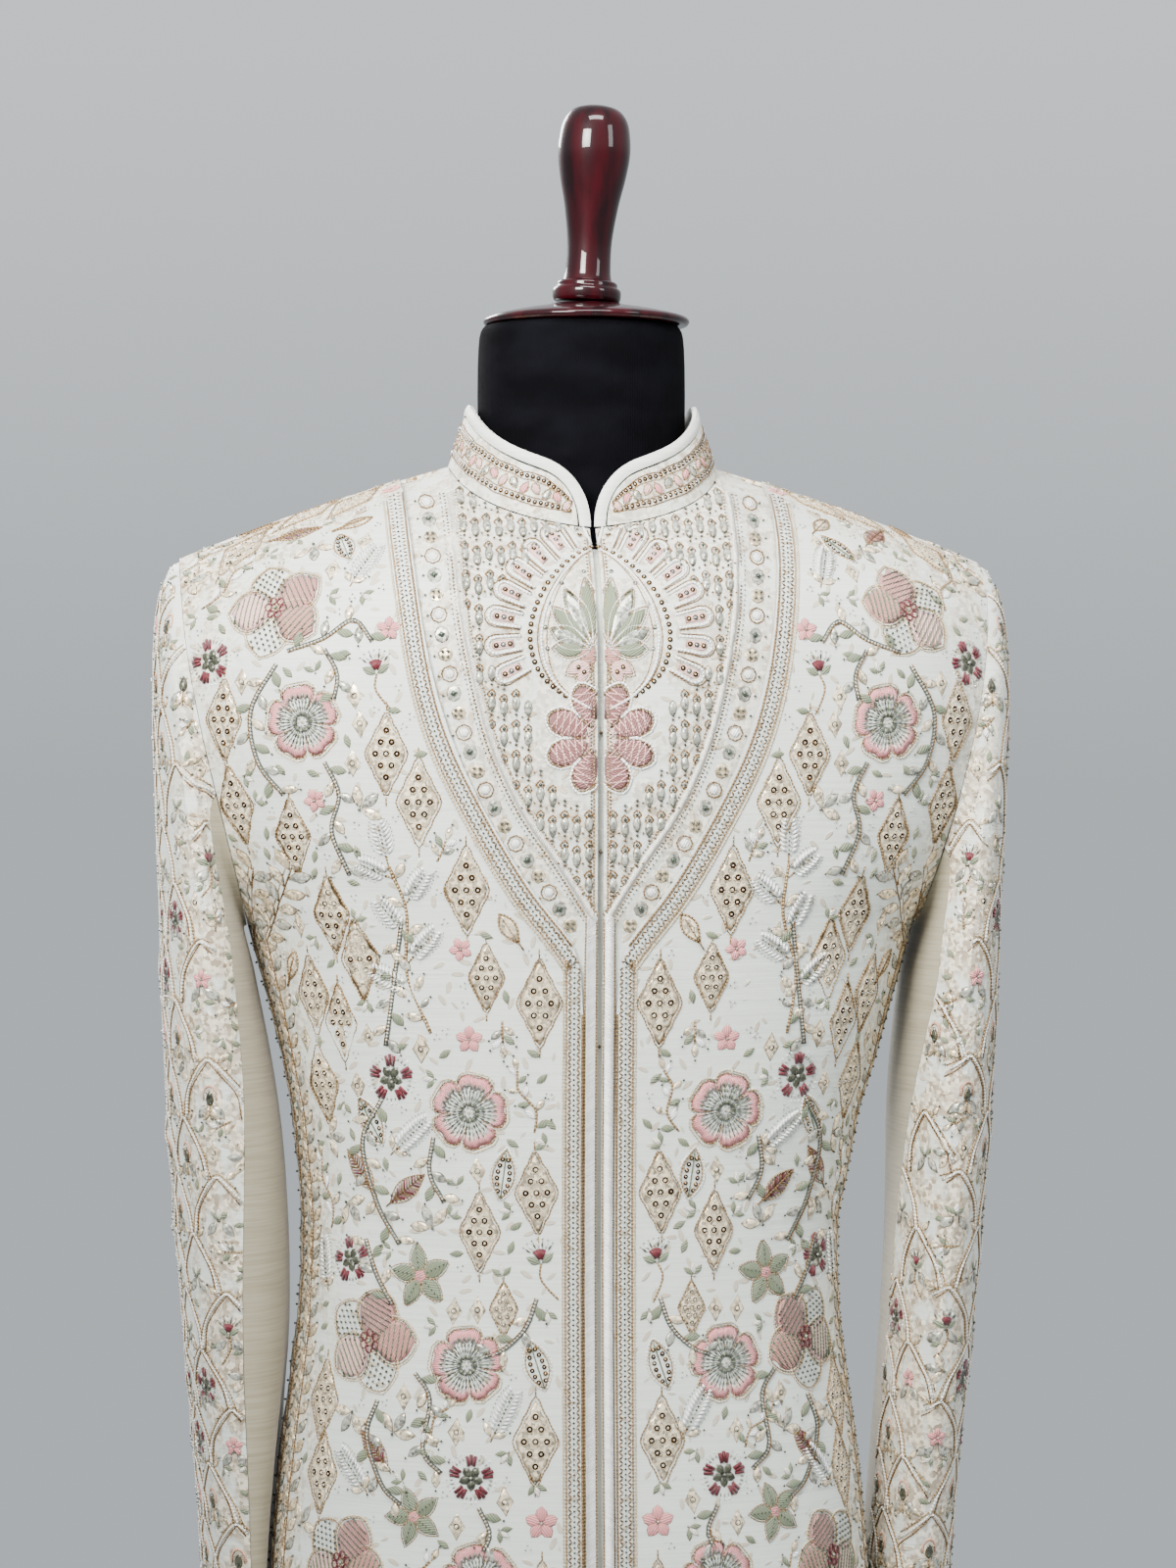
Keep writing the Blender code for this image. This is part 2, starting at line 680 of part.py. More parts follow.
def armhole_ring(front_edge, back_edge):
    """Join the armhole edges of front and back into one ring of points and normals."""
    points, normals = [], []
    for column in range(SLEEVE_COLUMNS):
        row = min(column, SLEEVE_COLUMNS - column)
        edge, normal, before = front_edge if column <= UPPER_ROWS else back_edge
        point, face, inside = edge[row], normal[row], before[row]
        if row in (0, UPPER_ROWS):
            point = (front_edge[0][row] + back_edge[0][row]) / 2
            face = unit(front_edge[1][row] + back_edge[1][row])
        angle = math.tau * column / SLEEVE_COLUMNS
        hang = soft_step((row - 2) / 6)
        along = unit(edge[row] - inside)
        if row == 0:
            along = unit(np.array([TIP_X - NECK_SIDE_X, 0.0, TIP_Z - NECK_SIDE_Z]))
        sleeve_face = np.array([math.cos(angle), -math.sin(angle), 0.0])
        away = unit(blend(along, np.array([1.0, 0.0, 0.3]), hang))
        points.append(point + away * SLEEVE_SEAM_GAP)
        normals.append(unit(blend(face, sleeve_face, hang)))
    return np.array(points), np.array(normals)


def sleeve_grid(front_edge, back_edge, label):
    """Rings from the armhole over the sleeve head and down to the cuff."""
    start, start_normals = armhole_ring(front_edge, back_edge)
    top = sleeve_ring(SLEEVE_TOP_Z, label)
    rings = [start]
    for level in range(1, SLEEVE_HEAD_RINGS + 1):
        t = (level / SLEEVE_HEAD_RINGS) ** SLEEVE_HEAD_CROWDING
        ring = []
        for column in range(SLEEVE_COLUMNS):
            angle = math.tau * column / SLEEVE_COLUMNS
            crown = (1.0 + math.cos(angle)) / 2
            fall = start[column][2] - SLEEVE_TOP_Z
            reach = blend(SLEEVE_UNDERARM_REACH, SLEEVE_CROWN_REACH, crown)
            leave = np.array([reach, 0.0, -SLEEVE_UNDERARM_DROP * fall * (1.0 - crown)])
            arrive = np.array([0.0, 0.0, -fall])
            rise = 3 * t ** 2 - 2 * t ** 3
            point = blend(start[column], top[column], rise)
            point = point + (t ** 3 - 2 * t ** 2 + t) * leave + (t ** 3 - t ** 2) * arrive
            if point[2] < UNDERARM_Z:
                edge = body_edge_x(point[1], point[2], label)
                point[0] = max(point[0], edge + SLEEVE_TO_BODY)
            ring.append(point)
        rings.append(np.array(ring))
    for level in range(1, SLEEVE_RINGS + 1):
        z = blend(SLEEVE_TOP_Z, CUFF_Z, level / SLEEVE_RINGS)
        rings.append(sleeve_ring(z, label))
    grid = np.array(rings)
    axis = np.mean(grid, axis=1, keepdims=True)
    normals = grid_normals(grid, grid - axis, wrap=True)
    normals[0] = start_normals
    return grid, normals


def pull_edges(grid, amount):
    """Draw the first and last columns in, so that the next piece stays clear."""
    result = grid.copy()
    for edge, neighbour in ((0, 1), (-1, -2)):
        step = grid[:, neighbour] - grid[:, edge]
        step /= np.linalg.norm(step, axis=1, keepdims=True)
        result[:, edge] += step * amount
    return result


def sleeve_pieces(front_edge, back_edge, side, label, materials):
    """Cut a sleeve along its two seams into an upper and an under piece."""
    grid, normals = sleeve_grid(front_edge, back_edge, label)
    front_seam = SLEEVE_FRONT_SEAM[label]
    back_seam = front_seam - SLEEVE_UPPER_COLUMNS
    columns = {
        "upper": [column % SLEEVE_COLUMNS for column in range(back_seam, front_seam + 1)],
        "under": list(range(front_seam, SLEEVE_COLUMNS + back_seam + 1)),
    }
    for part, chosen in columns.items():
        chosen = [column % SLEEVE_COLUMNS for column in chosen]
        outer = grid[:, chosen]
        inner = outer - normals[:, chosen] * CLOTH
        wall(f"sleeve_{part}_{label}", mirrored(pull_edges(outer, SEAM / 2), side),
             mirrored(pull_edges(inner, SEAM / 2), side), materials[part])


# ------------------------------------------------------------ collar


def collar_top_point(point):
    """The point of the collar's top line that stands over a point of its seam."""
    facing = FRONT if point[1] < 0 else BACK
    seam_depth, top_depth = ((NECK_FRONT, COLLAR_TOP_FRONT) if facing == FRONT
                             else (NECK_BACK, COLLAR_TOP_BACK))
    backness = (point[1] / seam_depth + 1.0) / 2
    height = blend(COLLAR_HEIGHT, COLLAR_BACK_HEIGHT, backness)
    return np.array([point[0] * COLLAR_TOP_X / NECK_SIDE_X,
                     point[1] * top_depth / seam_depth, point[2] + height])


def collar_lines():
    """Seam and top line of the half collar from the front edge to the middle of the back."""
    front = neck_curve(FRONT, COLLAR_EDGE_X, COLLAR_SAMPLES, 1.0)
    back = neck_curve(BACK, SEAM / 2, COLLAR_SAMPLES, 1.0)[::-1][1:]
    seam = np.concatenate([front, back])
    seam = seam + np.array([0.0, 0.0, COLLAR_RISE])
    top = np.array([collar_top_point(point) for point in seam])
    steps = np.linalg.norm(np.diff(seam, axis=0), axis=1)
    length = np.concatenate([[0.0], np.cumsum(steps)])
    return seam, top, length


COLLAR_SEAM, COLLAR_TOP, COLLAR_LENGTH = collar_lines()


def at_length(line, length):
    return np.array([np.interp(length, COLLAR_LENGTH, line[:, axis]) for axis in range(3)])


def collar_height(length):
    return np.linalg.norm(at_length(COLLAR_TOP, length) - at_length(COLLAR_SEAM, length))


def collar_place(length, height):
    """The point of the collar's outside at a length along the seam and a height above it."""
    return blend(at_length(COLLAR_SEAM, length), at_length(COLLAR_TOP, length),
                 height / collar_height(length))


def collar_edge():
    """The collar's edge as (length, height) pairs: up the front corner, then to the back."""
    power = 2.0 / COLLAR_CORNER_POWER
    edge = []
    for step in range(COLLAR_CORNER_STEPS + 1):
        angle = blend(COLLAR_CORNER_START, math.pi / 2, step / COLLAR_CORNER_STEPS)
        length = COLLAR_CORNER * (1.0 - max(math.cos(angle), 0.0) ** power)
        edge.append((length, collar_height(length) * math.sin(angle) ** power))
    for step in range(1, COLLAR_BACK_STEPS + 1):
        length = blend(COLLAR_CORNER, COLLAR_LENGTH[-1], step / COLLAR_BACK_STEPS)
        edge.append((length, collar_height(length)))
    return np.array(edge)


def drawn_in(edge, amount):
    """Move the edge line inwards by a distance in the plane of the collar."""
    slope = np.gradient(edge, axis=0)
    slope /= np.linalg.norm(slope, axis=1, keepdims=True)
    return edge + np.stack([slope[:, 1], -slope[:, 0]], axis=1) * amount


def whole_collar(half):
    """Join a half with its mirror image, from the right front to the left front."""
    mirror = np.array([-1.0, 1.0, 1.0])
    middle = half[:, -1:] * np.array([0.0, 1.0, 1.0])
    return np.concatenate([half[:, :-1] * mirror, middle, half[:, -2::-1]], axis=1)


def collar_skin(inset, below, rows):
    """Rows of collar points, moved inwards by inset, whose top is `below` the edge."""
    edge = drawn_in(collar_edge(), below)
    grid = []
    for row in range(rows + 1):
        grid.append([collar_place(length, max(height, COLLAR_END_HEIGHT) * row / rows)
                     for length, height in edge])
    grid = whole_collar(np.array(grid))
    around = np.gradient(grid[0], axis=0)
    across = np.stack([around[:, 1], -around[:, 0], np.zeros(len(around))], axis=1)
    across /= np.linalg.norm(across, axis=1, keepdims=True)
    if np.sum(across * grid[0]) < 0:
        across = -across
    return grid - across * inset


def collar_walls(outer_material, lining_material):
    below = 2 * BINDING_HALF_WIDTH + 3 * SEAM
    rows = COLLAR_ROWS
    wall("collar", collar_skin(0.0, below, rows), collar_skin(CLOTH, below, rows), outer_material)
    near = CLOTH + SEAM
    rows = COLLAR_LINING_ROWS
    wall("collar_lining", collar_skin(near, below, rows),
         collar_skin(near + COLLAR_LINING, below, rows), lining_material)


def collar_binding(material):
    """The folded binding round the collar's top edge and down its front corners."""
    line = drawn_in(collar_edge(), BINDING_HALF_WIDTH)
    ahead = drawn_in(collar_edge(), BINDING_HALF_WIDTH + BINDING_AIM)
    points = whole_collar(np.array([[collar_place(*place) for place in line]]))[0]
    inner = whole_collar(np.array([[collar_place(*place) for place in ahead]]))[0]
    rings = []
    for point, within, around in zip(points, inner, np.gradient(points, axis=0)):
        inward = unit(within - point)
        face = unit(np.cross(unit(around), inward))
        outwards = face if np.dot(face[:2], point[:2]) > 0 else -face
        centre = point - outwards * CLOTH / 2
        ring = []
        for side in range(BINDING_SIDES):
            angle = math.tau * (side + 0.5) / BINDING_SIDES
            ring.append(centre + inward * BINDING_HALF_WIDTH * math.cos(angle)
                        + face * BINDING_HALF_THICKNESS * math.sin(angle))
        rings.append(np.array(ring))
    stacked_rings("collar_binding", rings, material)


# ------------------------------------------------------------ the dress form
FORM_HEIGHTS = (0.800, 0.803, 0.850, 0.900, 0.960, 1.020, 1.080, 1.140, 1.190, 1.230, 1.270,
                1.310, 1.345, 1.372, 1.390, 1.402, 1.415, 1.428, 1.440)
FORM_QUARTER = 7
NeckLevel = namedtuple("NeckLevel", "height scale")
FORM_NECK_LEVELS = (
    NeckLevel(1.445, 1.000),
    NeckLevel(1.500, 1.012),
    NeckLevel(1.524, 1.000),
    NeckLevel(1.531, 0.980),
    NeckLevel(FORM_NECK_TOP_Z, 0.940),
)


def form_limit(z):
    """Reach of the form at a height: the side, the arm plate or the shoulder line."""
    if z <= UNDERARM_Z:
        return half_width(z, FRONT)
    if z < TIP_Z:
        return armhole_reach(z) - FORM_ARM_CUT
    along = (NECK_SIDE_Z - z) / (NECK_SIDE_Z - TIP_Z)
    cut = FORM_ARM_CUT * max((TIP_Z + FORM_ARM_BLEND - z) / FORM_ARM_BLEND, 0.0)
    return blend(NECK_SIDE_X, TIP_X, along) - cut


def form_ring(z):
    """One level of the form, before it is drawn in below the coat."""
    limit = form_limit(z)
    ring = []
    for index in range(4 * FORM_QUARTER):
        quarter, step = divmod(index, FORM_QUARTER)
        share = step / FORM_QUARTER if quarter % 2 == 0 else 1.0 - step / FORM_QUARTER
        facing = FRONT if quarter in (0, 3) else BACK
        width = half_width(z, facing)
        side = 1 if quarter < 2 else -1
        reach = side * hang_scale(z, side)
        if share == 1.0:
            ring.append((reach * limit, 0.0, z))
            continue
        crowding = FORM_SIDE_CROWDING if z > UNDERARM_Z else 1.0
        x = min(spread_between(0.0, min(limit, width), width, share * crowding), limit)
        ring.append((reach * x, facing * depth_at(x, z, facing), z))
    return np.array(ring)


def form_gap(point):
    """How far the form lies below the coat's surface at a point."""
    before = 1.0 - soft_step((point[1] - GAP_CHANGE_Y) / GAP_CHANGE_WIDTH)
    chest = soft_step((point[2] - CHEST_LOW_Z) / (CHEST_HIGH_Z - CHEST_LOW_Z))
    return blend(FORM_GAP_BACK, FORM_GAP_FRONT + chest * FORM_GAP_CHEST, before)


def neck_ring(z, scale=1.0):
    ring = []
    for index in range(4 * FORM_QUARTER):
        angle = math.tau * index / (4 * FORM_QUARTER)
        ring.append((FORM_NECK_X * scale * math.sin(angle),
                     -FORM_NECK_Y * scale * math.cos(angle), z))
    return np.array(ring)


def form_torso(material):
    rings = np.array([form_ring(z) for z in FORM_HEIGHTS])
    axis = np.mean(rings, axis=1, keepdims=True)
    normals = grid_normals(rings, rings - axis, wrap=True)
    drawn = rings.copy()
    for level in range(len(FORM_HEIGHTS)):
        neck = neck_ring(FORM_HEIGHTS[level])
        for index in range(4 * FORM_QUARTER):
            point = rings[level, index]
            point = point - normals[level, index] * form_gap(point)
            if FORM_HEIGHTS[level] > TIP_Z and np.hypot(*point[:2]) < np.hypot(*neck[index][:2]):
                point = neck[index]
            drawn[level, index] = point
    drawn[0, :, 2] = FORM_BOTTOM_Z
    drawn[0, :, :2] *= FORM_FOOT_SCALE
    levels = list(drawn)
    for level in FORM_NECK_LEVELS:
        levels.append(neck_ring(level.height, level.scale))
    stacked_rings("form_torso", levels, material)


def form_woodwork(wood):
    cap_z = FORM_NECK_TOP_Z + SEAM
    edge = CAP_RADIUS - CAP_EDGE_ROUND
    profile = [(0.0, CAP_RADIUS - CAP_FOOT_ROUND), (CAP_EDGE_ROUND, edge), (CAP_RIM / 2, CAP_RADIUS)]
    for step in range(CAP_STEPS + 1):
        share = step / CAP_STEPS
        rise = (CAP_RISE - CAP_RIM) * math.sin(share * math.pi / 2)
        profile.append((CAP_RIM + rise, blend(edge, FINIAL[0].radius, share)))
    turned("neck_cap", profile, CAP_SIDES, (CAP_X, cap_z), wood)
    turned("finial", [(row.height, row.radius) for row in FINIAL], FINIAL_SIDES,
           (CAP_X, cap_z + CAP_RISE + SEAM), wood, FINIAL_LEAN)


def stand(pole_material, base_material):
    profile = [(0.0, BASE_RADIUS - BASE_FOOT_ROUND), (BASE_FOOT_ROUND, BASE_RADIUS)]
    for step in range(BASE_ROUND_STEPS + 1):
        angle = step / BASE_ROUND_STEPS * math.pi / 2
        profile.append((BASE_HEIGHT - BASE_ROUND + BASE_ROUND * math.sin(angle),
                        BASE_RADIUS - BASE_ROUND + BASE_ROUND * math.cos(angle)))
    turned("stand_base", profile, BASE_SIDES, (0.0, 0.0), base_material)
    length = FORM_BOTTOM_Z - BASE_HEIGHT - 2 * SEAM
    turned("stand_pole", [(0.0, POLE_RADIUS), (length, POLE_RADIUS)], POLE_SIDES,
           (0.0, BASE_HEIGHT + SEAM), pole_material)


# ------------------------------------------------------------ assembly


def build():
    clear_scene()
    silk = make_material("embroidered_silk", (0.80, 0.79, 0.74), 0.55)
    bib_silk = make_material("bib_silk", (0.76, 0.74, 0.68), 0.55)
    plain_silk = make_material("plain_silk", (0.78, 0.75, 0.67), 0.50)
    binding_silk = make_material("binding_silk", (0.82, 0.82, 0.79), 0.45)
    lining_satin = make_material("lining_satin", (0.45, 0.46, 0.47), 0.40)
    jersey = make_material("black_jersey", (0.02, 0.02, 0.025), 0.85)
    lacquer = make_material("lacquered_wood", (0.10, 0.012, 0.015), 0.15)
    steel = make_material("black_steel", (0.03, 0.03, 0.03), 0.40, 0.6)

    for label, side in SIDES.items():
        front_edge = front_wall(silk, side, label)
        back_edge = back_wall(silk, side, label)
        inner_front_wall(bib_silk, side, label)
        sleeve_pieces(front_edge, back_edge, side, label,
                      {"upper": silk, "under": plain_silk})
    underlap_wall(plain_silk)
    collar_walls(bib_silk, lining_satin)
    collar_binding(binding_silk)
    form_torso(jersey)
    form_woodwork(lacquer)
    stand(steel, steel)


build()
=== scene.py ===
# %% [markdown]
# # A sherwani on a dress form
# A sherwani is a long South Asian coat. This one is raw ivory silk, worked by hand with
# silk thread, metal thread, sequins and beads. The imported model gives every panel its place
# and size, so this lesson only dresses it: first the cloth, then the form, then the stitches.

# %% Load the frame
import json
import math
import bpy
import numpy as np
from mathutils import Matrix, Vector
from mathutils.bvhtree import BVHTree

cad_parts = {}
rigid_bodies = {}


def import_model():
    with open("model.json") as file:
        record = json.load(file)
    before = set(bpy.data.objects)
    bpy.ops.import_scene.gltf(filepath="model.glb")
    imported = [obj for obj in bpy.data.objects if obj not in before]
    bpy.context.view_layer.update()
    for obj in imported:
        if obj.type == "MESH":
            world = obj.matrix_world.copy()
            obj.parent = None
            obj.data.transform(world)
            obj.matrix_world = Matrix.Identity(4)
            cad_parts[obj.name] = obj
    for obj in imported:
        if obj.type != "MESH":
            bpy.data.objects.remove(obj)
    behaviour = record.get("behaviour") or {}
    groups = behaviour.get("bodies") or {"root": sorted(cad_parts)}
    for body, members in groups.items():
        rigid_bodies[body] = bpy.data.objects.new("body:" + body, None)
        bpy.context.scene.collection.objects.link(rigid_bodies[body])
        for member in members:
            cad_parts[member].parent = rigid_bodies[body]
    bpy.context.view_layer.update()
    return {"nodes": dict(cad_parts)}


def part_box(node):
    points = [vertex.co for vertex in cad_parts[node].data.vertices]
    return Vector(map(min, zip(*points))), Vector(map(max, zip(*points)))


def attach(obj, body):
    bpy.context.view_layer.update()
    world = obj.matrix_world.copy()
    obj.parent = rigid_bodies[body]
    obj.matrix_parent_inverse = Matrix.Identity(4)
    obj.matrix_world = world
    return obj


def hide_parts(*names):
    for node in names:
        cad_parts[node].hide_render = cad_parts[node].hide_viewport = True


for start_object in list(bpy.data.objects):
    bpy.data.objects.remove(start_object)
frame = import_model()
bpy.ops.object.select_all(action="DESELECT")
MM = 0.001
print("nodes:", len(frame["nodes"]), "quick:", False)

# %% [markdown]
# ## Camera
# A portrait lens 2.6 m away, a few degrees to one side and level with the chest.
# The sensor is fitted to the height, so the upright frame stays as it is.

# %% Camera
CAMERA_TURN = math.radians(-5)
CAMERA_DISTANCE = 2.6
CAMERA_HEIGHT = 1.272
SENSOR_MM = 36
LENS_MM = 104.2425
LENS_SHIFT = 0.004375
camera_data = bpy.data.cameras.new("portrait_lens")
camera_data.sensor_fit = "VERTICAL"
camera_data.sensor_height = SENSOR_MM
camera_data.lens = LENS_MM
camera_data.shift_x = LENS_SHIFT
camera = bpy.data.objects.new("portrait_camera", camera_data)
bpy.context.scene.collection.objects.link(camera)
camera.location = (
    CAMERA_DISTANCE * math.sin(CAMERA_TURN),
    -CAMERA_DISTANCE * math.cos(CAMERA_TURN),
    CAMERA_HEIGHT,
)
camera.rotation_euler = (math.radians(90), 0, CAMERA_TURN)
bpy.context.scene.camera = camera
print("lens", round(camera_data.lens, 1), "mm")

# %% [markdown]
# ## Light and floor
# Cloth of one pale colour reads by soft shade, so the light is a few large panels and a
# grey room. The room is a little darker towards the ground, as a studio wall is.

# %% Light and floor
def area_light(name, place, aim, size, power, colour=(1, 1, 1), spread=180):
    """A rectangular soft light at place that looks at aim; a spread under 180 narrows its beam."""
    data = bpy.data.lights.new(name, "AREA")
    data.shape = "RECTANGLE"
    data.size, data.size_y = size
    data.energy = power
    data.color = colour
    data.spread = math.radians(spread)
    lamp = bpy.data.objects.new(name, data)
    bpy.context.scene.collection.objects.link(lamp)
    lamp.location = place
    lamp.rotation_euler = (Vector(aim) - Vector(place)).to_track_quat("-Z", "Y").to_euler()
    return lamp


area_light("key_panel", (-0.9, -1.5, 2.15), (0, 0, 1.50), (0.8, 0.6), 11, (1, 0.99, 0.96), 50)
area_light("side_panel", (1.7, -1.5, 2.3), (0, 0, 1.3), (0.6, 0.9), 17, (0.95, 0.98, 1))
area_light("top_panel", (0.0, -1.0, 3.0), (0, 0, 1.3), (1.2, 0.5), 62)
area_light("back_panel", (-1.2, 2.6, 2.6), (0, 0, 1.1), (1.2, 1.0), 95)

world = bpy.data.worlds.new("grey_room")
bpy.context.scene.world = world
world.use_nodes = True
room = world.node_tree
room_light = room.nodes["Background"]
room_place = room.nodes.new("ShaderNodeTexCoord")
room_split = room.nodes.new("ShaderNodeSeparateXYZ")
room_ramp = room.nodes.new("ShaderNodeValToRGB")
room.links.new(room_place.outputs["Generated"], room_split.inputs[0])
room.links.new(room_split.outputs["Z"], room_ramp.inputs["Fac"])
room.links.new(room_ramp.outputs["Color"], room_light.inputs["Color"])
ROOM_TONES = ((0.0, (0.38, 0.415, 0.435, 1)), (0.16, (0.62, 0.65, 0.68, 1)))
for stop, (height, tone) in zip(room_ramp.color_ramp.elements, ROOM_TONES):
    stop.position = height
    stop.color = tone
room_light.inputs["Strength"].default_value = 1.3

bpy.ops.mesh.primitive_circle_add(vertices=64, radius=2.4, fill_type="NGON", location=(0, 0, 0))
floor = bpy.context.object
floor.name = "studio_floor"

# %% [markdown]
# ## Finishes
# Each finish is a small node tree. Colours are given as they look on a screen, from 0 to 255,
# and turned into the linear values that the shader wants. What varies over the cloth, such as
# slub, weave and rib, comes from noise and waves on the object's own coordinates.

# %% Finish helpers
def linear(colour):
    """Screen colour 0..255 to the shader's linear colour."""
    parts = [value / 255 for value in colour]
    return (*(v / 12.92 if v <= 0.04045 else ((v + 0.055) / 1.055) ** 2.4 for v in parts), 1)


class Finish:
    """One material with a Principled shader and short calls for its nodes."""

    def __init__(self, name, colour, roughness, **sockets):
        self.material = bpy.data.materials.new(name)
        self.material.use_nodes = True
        self.tree = self.material.node_tree
        self.shader = self.tree.nodes["Principled BSDF"]
        self.base = self.shader.inputs["Base Color"]
        self.base.default_value = linear(colour)
        self.shader.inputs["Roughness"].default_value = roughness
        for socket, value in sockets.items():
            self.shader.inputs[socket.replace("_", " ")].default_value = value

    def feed(self, source, target):
        """Gives an input a value, or links it to an output or to a node's first output."""
        if isinstance(source, bpy.types.Node):
            source = source.outputs[0]
        if isinstance(source, bpy.types.NodeSocket):
            self.tree.links.new(source, target)
        else:
            target.default_value = source

    def node(self, kind, *sources, **values):
        """A node: values set its settings and inputs by name, sources its first inputs."""
        made = self.tree.nodes.new("ShaderNode" + kind)
        for name, value in values.items():
            if hasattr(made, name):
                setattr(made, name, value)
            else:
                self.feed(value, made.inputs[name.replace("_", " ")])
        for source, target in zip(sources, made.inputs):
            self.feed(source, target)
        return made

    def calc(self, operation, *sources):
        return self.node("Math", *sources, operation=operation)

    def coords(self, scale):
        place = self.node("TexCoord")
        return self.node("Mapping", place.outputs["Object"], Scale=scale)

    def noise(self, scale, detail=2):
        """Noise over the object's own coordinates, scale cells a metre along each axis."""
        return self.node("TexNoise", self.coords(scale), Scale=1.0, Detail=detail)

    def cells(self, count, loose):
        """Round cells over the object, count a metre, loosely set."""
        return self.node("TexVoronoi", self.coords((count,) * 3), Scale=1.0, Randomness=loose)

    def ramp(self, factor, start, low, end, high):
        """The colour low up to start, high from end on, and their blend between."""
        made = self.node("ValToRGB", factor)
        for stop, place, colour in zip(made.color_ramp.elements, (start, end), (low, high)):
            stop.position = place
            stop.color = linear(colour)
        return made

    def tint(self, factor, low, high, start=0.35, end=0.65):
        """Colours the base from low to high as factor goes from start to end."""
        self.feed(self.ramp(factor, start, low, end, high), self.base)

    def over(self, factor, colour):
        """Lays a colour over the base as far as factor says."""
        mix = self.node("Mix", factor, data_type="RGBA")
        self.feed(self.base.links[0].from_socket, mix.inputs[6])
        self.feed(colour, mix.inputs[7])
        self.feed(mix.outputs[2], self.base)

    def bump(self, height, distance, strength=1.0):
        """Adds a bump on top of the ones before it."""
        made = self.node("Bump", Strength=strength, Distance=distance, Height=height)
        normal = self.shader.inputs["Normal"]
        if normal.is_linked:
            self.feed(normal.links[0].from_socket, made.inputs["Normal"])
        self.feed(made, normal)


print("sRGB 128 is", round(linear((128, 128, 128))[0], 3), "in linear light")

# %% [markdown]
# ### Cloth and form finishes
# Raw silk shows thin slubs that run across the panel, over a weave of about twenty threads a
# centimetre. The satin lining is smooth. Jersey shows upright ribs. The lacquer is dark cherry
# under a thick clear coat, with the grain just visible through it.

# %% Cloth and form finishes
BLACK = (0, 0, 0)
WHITE = (255, 255, 255)
JERSEY_RIBS = 330
NET_CELLS = 430
LEAF_CELLS = 88
LEAF_SQUEEZE = (5.2, 2.0, 2.0)


def silk(name, low, high):
    made = Finish(name, high, 0.55, Sheen_Weight=0.25, Sheen_Roughness=0.4)
    slub = made.noise((18, 18, 900), 3)
    made.tint(slub, low, high, 0.3, 0.62)
    made.bump(slub, 0.00035, 0.45)
    made.bump(made.noise((1500, 1500, 1500), 1), 0.00015, 0.25)
    return made


def worked_ground(made, tone, strength):
    """Tiny leaves of metal thread all over: one long oval in each cell, turned its own way."""
    cell = made.cells(LEAF_CELLS, 0.8)
    place = cell.inputs["Vector"].links[0].from_socket
    away = made.node("VectorMath", place, cell.outputs["Position"], operation="SUBTRACT")
    turn = made.calc("MULTIPLY", made.node("SeparateXYZ", cell.outputs["Color"]), math.tau)
    turned_place = made.node("VectorRotate", away, rotation_type="Y_AXIS", Angle=turn)
    squeezed = made.node("Mapping", turned_place, Scale=LEAF_SQUEEZE)
    far = made.node("VectorMath", squeezed, operation="LENGTH")
    raised = made.ramp(far.outputs["Value"], 0.55, WHITE, 0.72, BLACK)
    made.over(made.calc("MULTIPLY", raised, strength), linear(tone))
    made.bump(raised, 0.0005, 0.7)


def net_and_side_shade(made, low, high):
    """A dense net of metal thread where the panel's attribute asks for it; on the body's turning sides
    its dark gold is partly painted shade.
    """
    edge = made.node("Attribute", attribute_name="dense_work_and_side_shade")
    grain = made.node("SeparateXYZ", made.cells(NET_CELLS, 0.8).outputs["Color"])
    gaps = made.node("MapRange", made.noise((95, 95, 60)), 0.38, 0.50)
    share = made.calc("MULTIPLY", edge.outputs["Fac"], gaps)
    made.over(share, made.ramp(grain, 0.15, low, 0.85, high))
    made.bump(made.calc("MULTIPLY", grain, share), 0.0009, 0.9)


ivory_silk = silk("ivory_raw_silk", (198, 203, 194), (213, 218, 210))
worked_ground(ivory_silk, (172, 148, 112), 0.6)
net_and_side_shade(ivory_silk, (128, 98, 58), (236, 222, 194))
# The under sleeve's silk is painted darker and warmer than the ivory: painted shade, for where it hangs
# between arm and body.
plain_silk = silk("plain_silk_with_painted_shade", (150, 141, 117), (168, 160, 137))
binding_silk = silk("folded_binding_silk", (198, 198, 190), (215, 215, 208))
underlap_silk = silk("underlap_silk", (178, 180, 170), (194, 196, 187))
lining = Finish("grey_ivory_lining", (176, 174, 166), 0.3, Sheen_Weight=0.1)
lining.tint(lining.noise((7, 7, 3)), (164, 162, 154), (184, 182, 175))

jersey = Finish("black_rib_jersey", (8, 8, 10), 0.9, Specular_IOR_Level=0.04)
rib_split = jersey.node("SeparateXYZ", jersey.node("TexCoord").outputs["Object"])
rib_angle = jersey.calc("ARCTAN2", rib_split.outputs["X"], rib_split.outputs["Y"])
jersey.bump(jersey.calc("SINE", jersey.calc("MULTIPLY", rib_angle, JERSEY_RIBS)), 0.0002, 0.5)
jersey.tint(jersey.noise((30, 30, 60)), (4, 4, 6), (9, 9, 13))

lacquer = Finish(
    "cherry_lacquer", (36, 2, 5), 0.4, Coat_Weight=0.6, Coat_Roughness=0.03,
    Specular_IOR_Level=0.05,
)
lacquer.tint(lacquer.noise((120, 120, 9), 4), (14, 0, 2), (44, 0, 6), 0.35, 0.68)

steel = Finish("black_painted_steel", (24, 24, 26), 0.42, Metallic=0.35)
steel.tint(steel.noise((40, 40, 40)), (20, 20, 22), (30, 30, 33))
steel.bump(steel.noise((600, 600, 600)), 0.0001, 0.3)

floor_paint = Finish("pale_floor", (188, 191, 192), 0.7)
floor_paint.tint(floor_paint.noise((2, 2, 2)), (184, 187, 188), (192, 195, 196))
floor.data.materials.append(floor_paint.material)
print("finishes:", len(bpy.data.materials))

